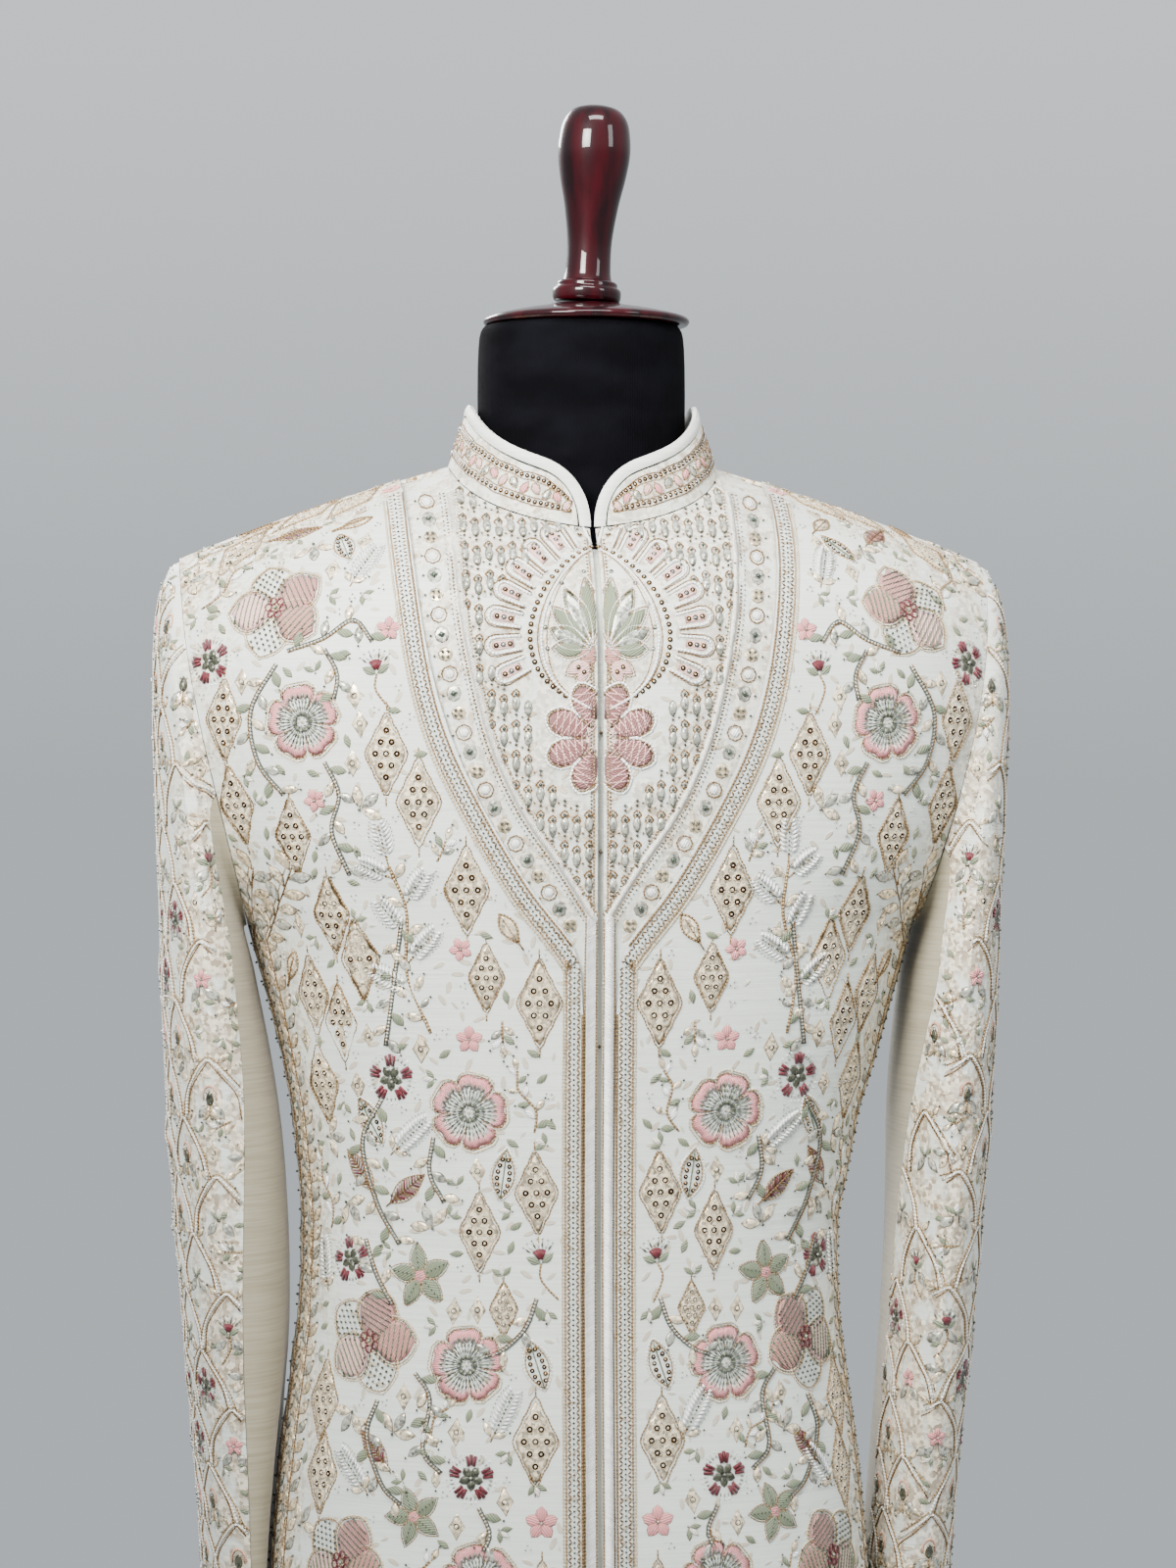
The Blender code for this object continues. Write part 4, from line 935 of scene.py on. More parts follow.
    def band(self, outer, inner, tone, edge, puff=0.6):
        """A padded satin band between two lines, with its threads across it."""
        outer, inner = np.asarray(outer, float), np.asarray(inner, float)
        count = len(outer)
        places, lays = [], []
        along = distances(outer) * self.size
        for share, lift in ((0.0, -SINK), (0.5, puff), (1.0, -SINK)):
            for i in range(count):
                found = self.spot(*(inner[i] + (outer[i] - inner[i]) * share))
                if not found:
                    return
                places.append(found[0] + found[1] * (lift * MM))
                lays.append(along[i])
        faces = [(0, count, 2 * count), (count - 1, 3 * count - 1, 2 * count - 1)]
        for i in range(count - 1):
            for low in (i, i + count):
                faces += [(low, low + 1, low + count + 1), (low, low + count + 1, low + count)]
            faces += [(i, i + 2 * count, i + 2 * count + 1), (i, i + 2 * count + 1, i + 1)]
        tones = [TONE_AT[edge]] * count + [TONE_AT[tone]] * (2 * count)
        self.add_patch(places, faces, 2, tones, lays)

    def add_patch(self, places, faces, test, tones, lays):
        """Adds a padded patch, turned inside out first if its test face looks down."""
        a, b, c = (places[k] for k in faces[test])
        found = self.tree.find_nearest((a + b + c) / 3)
        if (b - a).cross(c - a).dot(found[1]) < 0:
            faces = [face[::-1] for face in faces]
        finish = NET if TONE_NAMES[tones[-1]] in NET_TONES else SILK
        skins[self.node]["pads"].append((places, faces, tones, lays, finish))

    def fill(self, outline, angle, tone, puff=0.5, rim=None):
        """A padded satin patch inside a closed outline; rim is the colour of its edge."""
        outline = np.asarray(outline, float)
        middle = outline.mean(0)
        c, s = toward(angle)
        places, lays = [], []
        for share, lift in ((1.0, -SINK), (0.74, puff), (0.0, puff * 1.25)):
            for corner in (outline - middle)[: None if share else 1]:
                for shrink in INWARDS:
                    at = middle + corner * share * shrink
                    found = self.spot(*at)
                    if found:
                        break
                if not found:
                    return
                places.append(found[0] + found[1] * (lift * MM))
                lays.append((at[1] * c - at[0] * s) * self.size)
        n = len(outline)
        faces = []
        for i in range(n):
            j = (i + 1) % n
            faces += [(n + i, n + j, 2 * n), (i, j, n + j), (i, n + j, n + i)]
            if 0 < i < n - 1:
                faces.append((0, j, i))
        tones = [TONE_AT[rim or tone]] * n + [TONE_AT[tone]] * (n + 1)
        self.add_patch(places, faces, 0, tones, lays)

    def at(self, x, y, turn=0.0, flip=1, size=1.0):
        """A smaller hoop that stands on the cloth at (x, y), or None where there is none."""
        found = self.spot(x, y)
        return found and Hoop(self.node, found[0], found[1], turn, flip, size)


def toward(angle):
    """The direction of an angle in degrees: its x and its y."""
    turn = math.radians(angle)
    return math.cos(turn), math.sin(turn)


def angle_of(dx, dy):
    """The angle of a direction, in degrees."""
    return math.degrees(math.atan2(dy, dx))


def distances(points):
    """How far along a line each of its points lies."""
    return np.concatenate([[0], np.cumsum(np.hypot(*np.diff(points, axis=0).T))])


def stations(points, step):
    """Places at even steps along a line, both ends among them."""
    points = np.asarray(points, float)
    run = distances(points)
    marks = np.linspace(0, run[-1], max(2, round(run[-1] / step) + 1))
    return np.column_stack([np.interp(marks, run, points[:, k]) for k in (0, 1)])


def paced(points, step):
    """Middles and directions of even steps along a line: rows of x, y, dx, dy."""
    ends = stations(points, step)
    return np.hstack([(ends[1:] + ends[:-1]) / 2, np.diff(ends, axis=0)])


def curve(points):
    """A smooth open line through the points."""
    points = [np.asarray(p, float) for p in points]
    before, after = 2 * points[0] - points[1], 2 * points[-1] - points[-2]
    return through(points, before, after, 6)


def unit(away):
    """Rows of (x, y) made one long."""
    return away / np.maximum(np.hypot(away[:, 0], away[:, 1]), 1e-9)[:, None]


def beside(points, distance):
    """The line that runs at a distance to the left of the points."""
    points = np.asarray(points, float)
    way = unit(np.gradient(points, axis=0))
    return points + np.column_stack([-way[:, 1], way[:, 0]]) * distance


def grown(outline, distance):
    """A closed outline moved outwards by a distance."""
    outline = np.asarray(outline, float)
    return outline + unit(outline - outline.mean(0)) * distance


def placed(x, y, angle, along, across):
    """A shape given along and across an angle, set down at (x, y)."""
    c, s = toward(angle)
    return np.column_stack([x + along * c - across * s, y + along * s + across * c])


def leaf_shape(x, y, angle, length, width, blunt=1.0):
    """A closed leaf outline from its base at (x, y); blunt under 1 gives a fuller petal."""
    t = np.linspace(0, 1, 5 if length < 10 else 7 if length < 20 else 9)
    half = width / 2 * np.sin(math.pi * t ** (0.9 if blunt >= 1 else 1.15)) ** blunt
    along = np.concatenate([t, t[-2:0:-1]]) * length
    return placed(x, y, angle, along, np.concatenate([half, -half[-2:0:-1]]))


def ring_shape(x, y, radius, count=12, tall=1.0):
    turn = np.linspace(0, math.tau, count, endpoint=False)
    return np.column_stack([x + radius * np.cos(turn), y + radius * tall * np.sin(turn)])


def front_hoop(node, side):
    """A hoop that looks at a panel from the front: x from the middle line, y up, in mm."""
    flip = 1 if side == "left" else -1
    return Hoop(node + "_" + side, Vector((0, -0.2, 0)), Vector((0, -1, 0)), flip=flip, reach=0.2)


class RoundHoop(Hoop):
    """A hoop that wraps a panel: x runs round from its start direction, y is the height."""

    def __init__(self, node, around, side, radius):
        self.node, self.around, self.radius, self.size = node, around, radius, 1.0
        self.tree = skins[node]["tree"]
        self.side = 1 if side == "left" else -1

    def spot(self, x, y):
        turn = x * MM / self.radius
        z = y * MM
        c, s = math.cos(turn), math.sin(turn)
        if self.around == "sleeve":
            axis_x = float(np.interp(z, SLEEVE_AXIS_Z, SLEEVE_AXIS_X))
            axis = Vector((self.side * axis_x, float(np.interp(z, SLEEVE_AXIS_Z, SLEEVE_AXIS_Y)), z))
            out = Vector((self.side * c, -s, 0))
            along = Vector((-self.side * s, -c, 0))
        else:
            axis = Vector((0, -0.004 if self.around == "neck" else 0, z))
            out = Vector((self.side * s, -c, 0))
            along = Vector((self.side * c, s, 0))
        point, normal, _, _ = self.tree.ray_cast(axis + out * 0.3, -out, 0.3)
        if point is None or normal.dot(out) < 0.3:
            return None
        return point, normal, along * MM, Vector((0, 0, MM))


print("hoops ready")

# %% [markdown]
# ## The motifs
# The flowers and leaves are the ordinary ones of this craft, drawn here from scratch: a
# pansy with satin tips, a five-petal flower with mixed fillings, lozenges of sequins,
# feather sprays, thistles and small leaves. Each is a function that works in a hoop.

# %% Flowers
FIVE_PETALS = [90 + 72 * petal for petal in range(5)]
PETAL_HALF = math.radians(34.5)


def pansy(h, r=21, tips="rose"):
    """Five round petals with satin tips, dark seed stitches and a beaded eye."""
    for angle in FIVE_PETALS:
        middle = math.radians(angle)
        rim, start = [], []
        for i in range(13):
            d = -1 + 2 * i / 12
            notch = 0.08 * math.exp(-((d / 0.25) ** 2))
            edge = r * (0.80 + 0.22 * math.sqrt(max(0, 1 - d * d)) - notch)
            inner = edge * (0.60 + 0.05 * (-1) ** i)
            a = middle + d * PETAL_HALF
            c, s = math.cos(a), math.sin(a)
            rim.append((edge * c, edge * s))
            start.append((inner * c, inner * s))
        h.band(rim, start, tips, "ivory", 0.75)
        for i in range(7):
            d = -0.86 + 1.72 * i / 6
            a = middle + d * PETAL_HALF
            c, s = math.cos(a), math.sin(a)
            tone = ("pewter", "moss", "silver")[i % 3]
            for near in np.arange(0.17 * r, r * (0.76 - 0.08 * abs(d)), 3.3):
                h.seed((near + 1.2) * c, (near + 1.2) * s, c, s, 4.4, tone, 1.0, 1.1)
        a = middle - PETAL_HALF
        h.run([(0.4 * r * math.cos(a), 0.4 * r * math.sin(a))] + rim, "zari", 4.2, 0.95)
        h.run(np.array(rim) * 1.08, "cream", 4.2, 1.15, 0.8)
    h.beads(2.4, [math.tau * i / 6 for i in range(6)], 1.6, "silver")
    h.bead(0, 0, 2.2, "cream")


MIXED_PETALS = (
    ("dusty", "pewter"), ("dots", "pewter"), ("blush", "moss"), ("dots", "pewter"), ("dusty", "moss"),
)


def mixed_flower(h, r=31):
    """Five broad petals, filled in turn with satin and bars or with rows of beads."""
    for petal, (fill, accent) in enumerate(MIXED_PETALS):
        angle = 62 + 72 * petal
        shape = leaf_shape(0, 0, angle, r, r * 0.86, 0.72)
        c, s = toward(angle)
        if fill == "dots":
            for i in range(3, 10):
                along = i * 0.095 * r
                wide = r * 0.36 * math.sin(math.pi * min(1, i * 0.095) ** 1.15) ** 0.72
                for j in (-2, -1, 0, 1, 2):
                    across = (j + 0.5 * (i % 2)) * 4.2
                    if abs(across) < wide:
                        h.bead(along * c - across * s, along * s + across * c, 2.0, accent)
        else:
            h.fill(shape, angle + 62, fill)
            for i in range(2, 9):
                along = i * 0.105 * r
                wide = r * 0.34 * math.sin(math.pi * min(1, i * 0.105) ** 1.15) ** 0.72
                start = ((along + 1.5) * c - wide * s, (along + 1.5) * s + wide * c)
                end = ((along - 1.5) * c + wide * s, (along - 1.5) * s - wide * c)
                h.run([start, end], accent, 5.0, 1.3, 1.35)
        h.rim(shape, 0.5, "zari", 4.5, 0.95)
        h.rim(shape, 1.8, "cream", 4.5, 1.15)
    for i in range(6):
        a = math.tau * i / 6 + 0.3
        h.rim(ring_shape(4.8 * math.cos(a), 4.8 * math.sin(a), 2.3, 7), 0, "burgundy", 1.7, 1.2, 1.5)
    h.bead(0, 0, 2.6, "silver")


def five_leaf_flower(h, r=19):
    for angle in FIVE_PETALS:
        shape = leaf_shape(0, 0, angle, r, r * 0.52)
        h.fill(shape, angle + 40, "sage")
        c, s = toward(angle)
        for near in np.arange(5, 0.86 * r, 2.6):
            h.bead(near * c, near * s, 1.2, "pewter", 0.6)
        h.rim(shape, 0.5, "zari", 3.6, 0.9)
    h.fill(ring_shape(0, 0, 4.2, 8), 20, "rose")
    h.rim(ring_shape(0, 0, 4.8, 10), 0, "zari")
    h.bead(0, 0, 1.8, "silver")


def floret(h, r=7.5):
    for angle in FIVE_PETALS:
        h.fill(leaf_shape(0, 0, angle, r, r * 0.76, 0.8), angle, "rose", 0.6, "zari")
    h.bead(0, 0, 2.0, "silver")


def star_flower(h, r=12):
    """Dark rays of satin between small metal petals, with seeds and beads at the tips."""
    for petal in range(5):
        shape = leaf_shape(0, 0, 54 + 72 * petal, r * 0.62, r * 0.44, 0.8)
        h.fill(shape, 54 + 72 * petal, "pewter", 0.7, "silver")
        a = math.radians(90 + 72 * petal)
        for spread in (-0.2, 0, 0.2):
            c, s = math.cos(a + spread), math.sin(a + spread)
            reach = r * (0.78 if spread else 0.84)
            h.satin(reach * c, reach * s, c, s, r * 0.48, "burgundy", 1.9, 1.0)
        for spread in (-0.62, -0.42, 0.42, 0.62):
            c, s = math.cos(a + spread), math.sin(a + spread)
            h.seed(r * 0.92 * c, r * 0.92 * s, c, s, 2.4, "silver", 1.0, 0.9)
            h.bead(r * 1.14 * c, r * 1.14 * s, 1.2, "white")
    h.bead(0, 0, 2.4, "silver")


def thistle(h):
    h.run(curve([(6, -24), (1, -17), (-2, -10), (0, -3)]), "zari", 3.2, 1.5)
    for angle in (32, 148):
        h.fill(leaf_shape(0, -3, angle, 9.5, 5.2), angle, "sage", 0.6, "silver")
    for angle in range(60, 121, 15):
        c, s = toward(angle)
        h.satin(3.4 * c, 3.4 * s - 1, c, s, 5.6, "burgundy", 1.8, 1.1)
    for i, angle in enumerate(range(45, 136, 15)):
        c, s = toward(angle)
        h.seed(8.6 * c, 8.6 * s - 1, c, s, 4.4, ("pewter", "ivory")[i % 2], 1.1, 1.0)
        h.bead(11.6 * c, 11.6 * s - 1, 1.2, "silver")


print("petals a flower:", len(FIVE_PETALS))

# %% [markdown]
# Leaves and sprays fill the ground between the flowers. A lozenge holds nine sequins, in
# rows of one, two, three, two and one, inside a doubled metal line.

# %% Leaves and lozenges
def lozenge(h, a=12.6, b=25):
    outline = []
    for x0, y0, x1, y1 in ((a, 0, 0, b), (0, b, -a, 0), (-a, 0, 0, -b), (0, -b, a, 0)):
        for i in range(6):
            t = i / 6
            bulge = 1 + 0.07 * (i % 2)
            outline.append(((x0 + (x1 - x0) * t) * bulge, (y0 + (y1 - y0) * t) * bulge))
    outline = np.array(outline)
    h.fill(outline, 30, "sand", 0.25, "zari")
    h.rim(outline, 0, "zari", 3.6, 1.15, 0.8)
    for tip in (b, -b):
        h.run([(0, tip), (0, tip * 1.2)], "zari", 3, 1.1, 0.7)
    for row in range(-2, 3):
        count = 3 - abs(row)
        for i in range(count):
            x = (i - (count - 1) / 2) * a * 0.50
            y = row * b * 0.27
            h.rim(ring_shape(x, y, 2.5, 6), 0, "cream", 2.2, 0.9, 1.0)
            h.sequin(x, y, 3.4, "bronze")


def drop(h, a=5.2, b=8.6):
    corners = ((1, 0), (0.45, 0.5), (0, 1), (-0.45, 0.5), (-1, 0), (-0.45, -0.5), (0, -1), (0.45, -0.5))
    h.fill(np.array(corners) * (a, b), 30, "sand", 0.3, "zari")
    h.sequin(0, 0, 3.4, "bronze")


def plume(h, x, y, angle, length, width=13.0):
    """A feathery leaf: slanted white stitches on both sides of a beaded spine."""
    turn = math.radians(angle)
    c, s = toward(angle)
    h.run([(x, y), (x + c * length * 0.25, y + s * length * 0.25)], "zari", 3.0, 1.2)
    count = round(length / 2.3)
    for i in range(2, count):
        t = (i + 0.5) / count
        px, py = x + c * length * t, y + s * length * t
        reach = width * 0.5 * math.sin(math.pi * (0.10 + 0.80 * t)) ** 0.7
        for side in (-1, 1):
            slant = turn + side * math.radians(52)
            cs, ss = math.cos(slant), math.sin(slant)
            middle, tip = 1.2 + reach * 0.5, 1.6 + reach * 1.05
            h.seed(px + cs * middle, py + ss * middle, cs, ss, reach, "white", 1.7, 1.5)
            h.bead(px + cs * tip, py + ss * tip, 1.1, "silver")
        h.bead(px, py, 1.7, ("silver", "pewter", "bronze")[i % 3], 0.2)


def bud(h, x, y, angle, length=9.0, tone="sand", rim="gold"):
    """A little closed leaf in metal thread with a bead at its tip."""
    length *= 1.22
    h.fill(leaf_shape(x, y, angle, length, length * 0.5, 0.9), angle + 35, tone, 0.7, rim)
    c, s = toward(angle)
    h.bead(x + c * (length + 1), y + s * (length + 1), 1.8, "pewter", 0.1)


def buds(h, line, every, spread, length, tones, shrink=0.0):
    """Buds along a line, on its left and its right in turn."""
    for i, (x, y, dx, dy) in enumerate(paced(line, every)):
        angle = angle_of(dx, dy) + (spread if i % 2 else -spread)
        bud(h, x, y, angle, length - shrink * i, tones[i % 3])


def spray(h, tall=112):
    """A tall stem with feathery leaves and pairs of buds in turn."""
    stem = curve([(5, -tall / 2), (-3, -tall * 0.2), (3, tall * 0.1), (-2, tall * 0.34)])
    h.run(stem, "zari", 3.4, 2.2, 0.9)
    for i, (x, y, dx, dy) in enumerate(paced(stem, tall * 0.84 / 6)):
        way = angle_of(dx, dy)
        side = 1 if i % 2 else -1
        if i:
            plume(h, x, y, way + side * 44, 27 - i)
        bud(h, x, y, way - side * 52, 9.5)
        bud(h, x + dx * 0.4, y + dy * 0.4, way + side * 68, 7.0, "silver")
    plume(h, *stem[-1], 96, 24)


def feather(h, length=30):
    plume(h, 1, -length / 2, 92, length)
    for angle in (140, 40):
        bud(h, 0, -length * 0.42, angle, 8)


def sprig(h, length=44, bend=5.0):
    stem = curve([(0, -length / 2), (bend, -length / 6), (-bend * 0.6, length / 5), (0, length / 2)])
    h.run(stem, "zari", 3.6, 1.7)
    buds(h, stem, 6.0, 52, 9.6, ("sage", "white", "sand"), 0.4)
    bud(h, *stem[-1], 90, 8, "cream")


TWIG_LEAVES = (
    (-6, 142, "sand"), (-4, 38, "silver"), (-1, 138, "sage"), (1, 42, "white"), (4, 90, "sand"),
)


def twig(h):
    """A short stem with five small leaves."""
    h.run([(0, -9), (0.6, -3), (0, 4)], "zari", 3.6, 1.6)
    for y, angle, tone in TWIG_LEAVES:
        bud(h, 0, y, angle, 7.6, tone)


def curled_leaf(h, length=30):
    """An open leaf with a double edge, rows of sequins and a middle vein."""
    outline = leaf_shape(0, -length / 2, 90, length, length * 0.46)
    h.rim(outline, 0, "zari", 3.4, 1.0, 0.8)
    h.rim(outline, 1.7, "ivory", 3.8, 1.2, 0.8)
    for i in range(6):
        y = -length * 0.35 + i * length * 0.13
        wide = length * 0.105 * math.sin(math.pi * (0.20 + 0.13 * i))
        for side in (-1, 1):
            h.sequin(side * wide * 1.2, y, 2.7, ("bronze", "gold")[i % 2])
    h.run([(0, -length / 2), (0, length * 0.42)], "moss", 3.4, 1.0, 0.9)


def netted_leaf(h, length=20):
    """A broad leaf filled with a net of metal thread inside a raised edge."""
    shape = leaf_shape(0, -length / 2, 90, length, length * 0.46, 0.9)
    h.fill(shape, 0, "sand", 0.5, "gold")
    h.rim(shape, 0, "zari", 3.6, 1.2, 0.9)
    h.run([(0, -length * 0.72), (0, length * 0.3)], "gold", 3.6, 1.2, 1.4)


def leaf_fan(h):
    """Three netted leaves from one point."""
    for angle, tone in ((28, "sand"), (90, "silver"), (152, "sand")):
        h.fill(leaf_shape(0, -5, angle, 14, 6.6, 0.9), angle, tone, 0.6, "gold")
    h.bead(0, -5.5, 2.4, "pewter")


def herring_leaf(h, length=30):
    """A long leaf of slanted satin stitches that meet at a gold vein."""
    steps = length / 2.1
    for i in range(round(steps)):
        t = (i + 0.6) / steps
        y = -length / 2 + t * length
        reach = length * 0.19 * math.sin(math.pi * t ** 0.9)
        tone = ("burgundy", "mauve", "zari")[i % 3]
        for side in (-1, 1):
            h.satin(side * reach * 0.5, y + 0.8, side, 0.75, reach * 1.1, tone, 1.2, 0.7)
    h.rim(leaf_shape(0, -length / 2, 90, length, length * 0.42), 0, "zari", 3.4, 1.0, 0.8)
    h.run([(0, -length * 0.62), (0, length * 0.45)], "gold", 3.4, 1.0, 1.2)


def satin_leaf(h, y, angle, tone):
    h.fill(leaf_shape(0, y, angle, 9, 9 * 0.48), angle + 35, tone, 0.6, "zari")


def small_leaf(h):
    satin_leaf(h, -4.5, 90, "sage")


def leaf_trio(h):
    for angle, tone in ((42, "sage"), (90, "ivory"), (138, "sage")):
        satin_leaf(h, -4, angle, tone)
    h.bead(0, -5, 1.6, "silver")


def three_beads(h):
    h.beads(1.7, [math.radians(angle) for angle in (90, 210, 330)], 1.3, "silver")


def vine(h, points):
    """A braided stem along the points, with a leaf on each side in turn."""
    line = curve(points)
    h.run(line, "silver", 3.4, 2.2, 0.9)
    h.run(beside(line, 0.9), "gold", 4.2, 0.9, 1.1)
    h.run(beside(line, -0.9), "pewter", 4.2, 0.9, 1.1)
    buds(h, line, 7.6, 50, 9.0, ("sage", "sand", "silver"))


print("motifs ready")

# %% [markdown]
# ## Laying out the front
# The main flowers of the right front are given by their distance from the middle line and
# their height. The left front mirrors them. Stems tie them together, and small motifs fill
# what ground is left, dropped at random with a fixed seed and kept only where they fit.

# %% What is taken
taken_circles = np.zeros((8000, 4))
taken_count = 0


def claim(hoop, spots):
    """Marks circles of the cloth as worked: spots are (x, y, radius) in the hoop, in mm."""
    global taken_count
    for x, y, radius in spots:
        found = hoop.spot(x, y)
        if found:
            taken_circles[taken_count] = (*found[0], radius * hoop.size * MM)
            taken_count += 1


def is_free(places):
    """True where every (point, radius) keeps clear of all that is worked."""
    taken = taken_circles[:taken_count]
    for point, radius in places:
        gap = np.linalg.norm(taken[:, :3] - np.array(point), axis=1) - taken[:, 3]
        if len(gap) and gap.min() < radius:
            return False
    return True


def work_both(hoop, turn, motif, spots):
    """Works a motif in a hoop on the right, claims its spots and mirrors it to the left."""
    claim(hoop, spots)
    motif(hoop)
    node = hoop.node.replace("_right", "_left")
    point = Vector((-hoop.anchor.x, hoop.anchor.y, hoop.anchor.z))
    found, normal, _, _ = skins[node]["tree"].find_nearest(point)
    motif(Hoop(node, found, normal, -turn, -1, hoop.size))


# what each motif takes of the cloth: circles of x, y, radius in its hoop
TAKEN_BY = {
    pansy: ((0, 0, 23),), mixed_flower: ((0, 0, 32),), five_leaf_flower: ((0, 0, 19),),
    star_flower: ((0, 0, 14),), floret: ((0, 0, 8.5),), thistle: ((0, 3, 11), (0, -12, 6)),
    lozenge: ((0, -14, 7), (0, 0, 12.5), (0, 14, 7)), feather: ((0, -9, 8), (0, 7, 7)),
    spray: ((2, -44, 13), (0, -22, 19), (0, 2, 20), (0, 26, 19), (-2, 50, 12)),
    twig: ((0, -3, 8.5), (0, 6, 8)), leaf_fan: ((0, 0, 9.5),),
    sprig: ((0, -13, 8), (0, 3, 8.5), (0, 18, 7.5)), drop: ((0, 0, 6.6),),
    leaf_trio: ((0, 1, 6.6),), small_leaf: ((0, 0, 4.4),), three_beads: ((0, 0, 2.8),),
}
for leaf_motif in (herring_leaf, curled_leaf, netted_leaf):
    TAKEN_BY[leaf_motif] = ((0, -7, 6.5), (0, 7, 6.5))

# motif, distance from the middle, height, turn, size
FRONT_WORK = (
    (mixed_flower, 176, 1369, -20, 0.92), (pansy, 162, 1306, 10, 1.0), (floret, 115, 1357, 0, 1.0),
    (star_flower, 212, 1340, 20, 1.0), (thistle, 122, 1335, 8, 1.0),
    (herring_leaf, 163, 1412, -60, 0.95), (curled_leaf, 138, 1404, 30, 0.85),
    (lozenge, 99, 1262, 0, 1.0), (lozenge, 73, 1214, 0, 1.0), (lozenge, 33, 1152, 0, 1.0),
    (lozenge, 146, 1200, 0, 0.92), (lozenge, 167, 1243, 0, 0.9), (lozenge, 140, 1140, 0, 0.9),
    (spray, 106, 1190, 8, 1.0), (lozenge, 62, 1166, 0, 0.8), (floret, 71, 1132, 0, 1.1),
    (star_flower, 113, 1110, 0, 1.05), (pansy, 71, 1092, -14, 1.02), (sprig, 40, 1098, 15, 0.8),
    (curled_leaf, 52, 1058, -8, 0.9), (curled_leaf, 124, 1086, 28, 0.95),
    (herring_leaf, 104, 1049, -52, 0.9), (herring_leaf, 129, 1058, 38, 0.95),
    (lozenge, 65, 1026, 0, 0.92), (thistle, 32, 1012, 10, 1.0), (star_flower, 134, 1008, 12, 1.0),
    (five_leaf_flower, 97, 1001, 8, 1.0), (lozenge, 52, 984, 0, 0.62),
    (mixed_flower, 124, 964, 12, 0.94), (pansy, 72, 953, 6, 1.0), (curled_leaf, 34, 954, 18, 0.92),
    (lozenge, 35, 912, 0, 1.0), (herring_leaf, 122, 905, 42, 0.9), (star_flower, 70, 892, 0, 1.0),
    (five_leaf_flower, 101, 870, 20, 0.9, ((0, 0, 18),)), (sprig, 92, 918, -40, 0.7),
    (mixed_flower, 140, 842, 0, 0.9), (pansy, 66, 836, 20, 1.0), (floret, 32, 868, 0, 1.3),
    (lozenge, 32, 826, 0, 0.9), (mixed_flower, 82, 770, 20, 0.9), (pansy, 138, 765, -8, 1.0),
    (lozenge, 38, 762, 0, 1.0), (thistle, 110, 715, -12, 1.1), (five_leaf_flower, 62, 700, 0, 1.0),
    (lozenge, 150, 690, 0, 1.0), (pansy, 100, 655, 4, 1.0), (lozenge, 38, 648, 0, 1.0),
    (mixed_flower, 155, 620, 0, 0.9), (star_flower, 60, 610, 0, 1.1), (pansy, 62, 555, 0, 1.05),
    (mixed_flower, 120, 545, 30, 0.95), (lozenge, 165, 530, 0, 1.0),
    (five_leaf_flower, 70, 490, 12, 1.0), (pansy, 128, 470, 0, 1.0), (lozenge, 38, 500, 0, 1.0),
)

# stems on the right front: places in mm from the middle, and height
FRONT_STEMS = (
    ((170, 1345), (150, 1352), (134, 1362), (124, 1350)),
    ((150, 1346), (143, 1332), (145, 1318)),
    ((176, 1338), (190, 1312), (186, 1284), (172, 1266)),
    ((150, 1284), (142, 1266), (146, 1246), (136, 1222)),
    ((108, 1196), (112, 1160), (116, 1128)),
    ((118, 1098), (128, 1074), (120, 1040), (108, 1018)),
    ((90, 1078), (92, 1058), (84, 1042)),
    ((34, 990), (40, 974), (52, 962), (62, 958)),
    ((112, 985), (120, 1000), (126, 1020)),
    ((100, 948), (92, 934), (96, 906), (86, 894)),
    ((120, 932), (126, 912), (118, 886), (108, 876)),
    ((66, 876), (60, 862), (64, 852)),
)
print("motifs on each front:", len(FRONT_WORK), "stems:", len(FRONT_STEMS))

# %% [markdown]
# The large flowers go on first, then the stems that tie them. What they cover is noted,
# because the small stitches that come last may not cross them.

# %% Work the front
def claim_line(hoop, line, every, radius):
    """Marks a strip of the cloth along a line as worked."""
    claim(hoop, [(x, y, radius) for x, y, _, _ in paced(line, every)])


right_front = front_hoop("front_outer", "right")
for motif, x, z, turn, size, *spots in FRONT_WORK:
    hoop = right_front.at(x, z, turn, 1, size)
    work_both(hoop, turn, motif, *(spots or [TAKEN_BY[motif]]))
for side in ("right", "left"):
    base = front_hoop("front_outer", side)
    for stem in FRONT_STEMS:
        vine(base, stem)
        if side == "right":
            claim_line(base, curve(stem), 8, 4.0)
print("circles taken:", taken_count)

# %% [markdown]
# ### Borders
# A border is a few lines side by side: a raised white rope, piping, zigzags of metal thread
# and a dotted line. It follows any line, so one function serves the front edge, the neck
# opening, the hem and the cuffs.

# %% Border helpers
def across_line(line, every):
    """Places at even steps along a line, with the direction (c, s) of each."""
    for x, y, dx, dy in paced(line, every):
        long = math.hypot(dx, dy)
        yield x, y, dx / long, dy / long


def rope(h, line, width, tone):
    """Slanted satin stitches packed across a line, as a raised cord."""
    for x, y, c, s in across_line(line, 1.25):
        h.satin(x, y, c * 0.5 - s * 0.87, s * 0.5 + c * 0.87, width * 1.12, tone, 1.3, 0.95)


def zigzag(h, line, width, tone):
    for i, (x, y, c, s) in enumerate(across_line(line, 2.0)):
        lean = 0.8 if i % 2 else -0.8
        h.seed(x, y, c * lean - s, s * lean + c, width * 1.25, tone, 1.2, 0.8)


def dots(h, line, width, tone):
    for x, y, _, _ in paced(line, 2.8):
        h.bead(x, y, width, tone)


def run(h, line, width, tone):
    h.run(line, tone, 5.0, width * 1.35, 0.95)


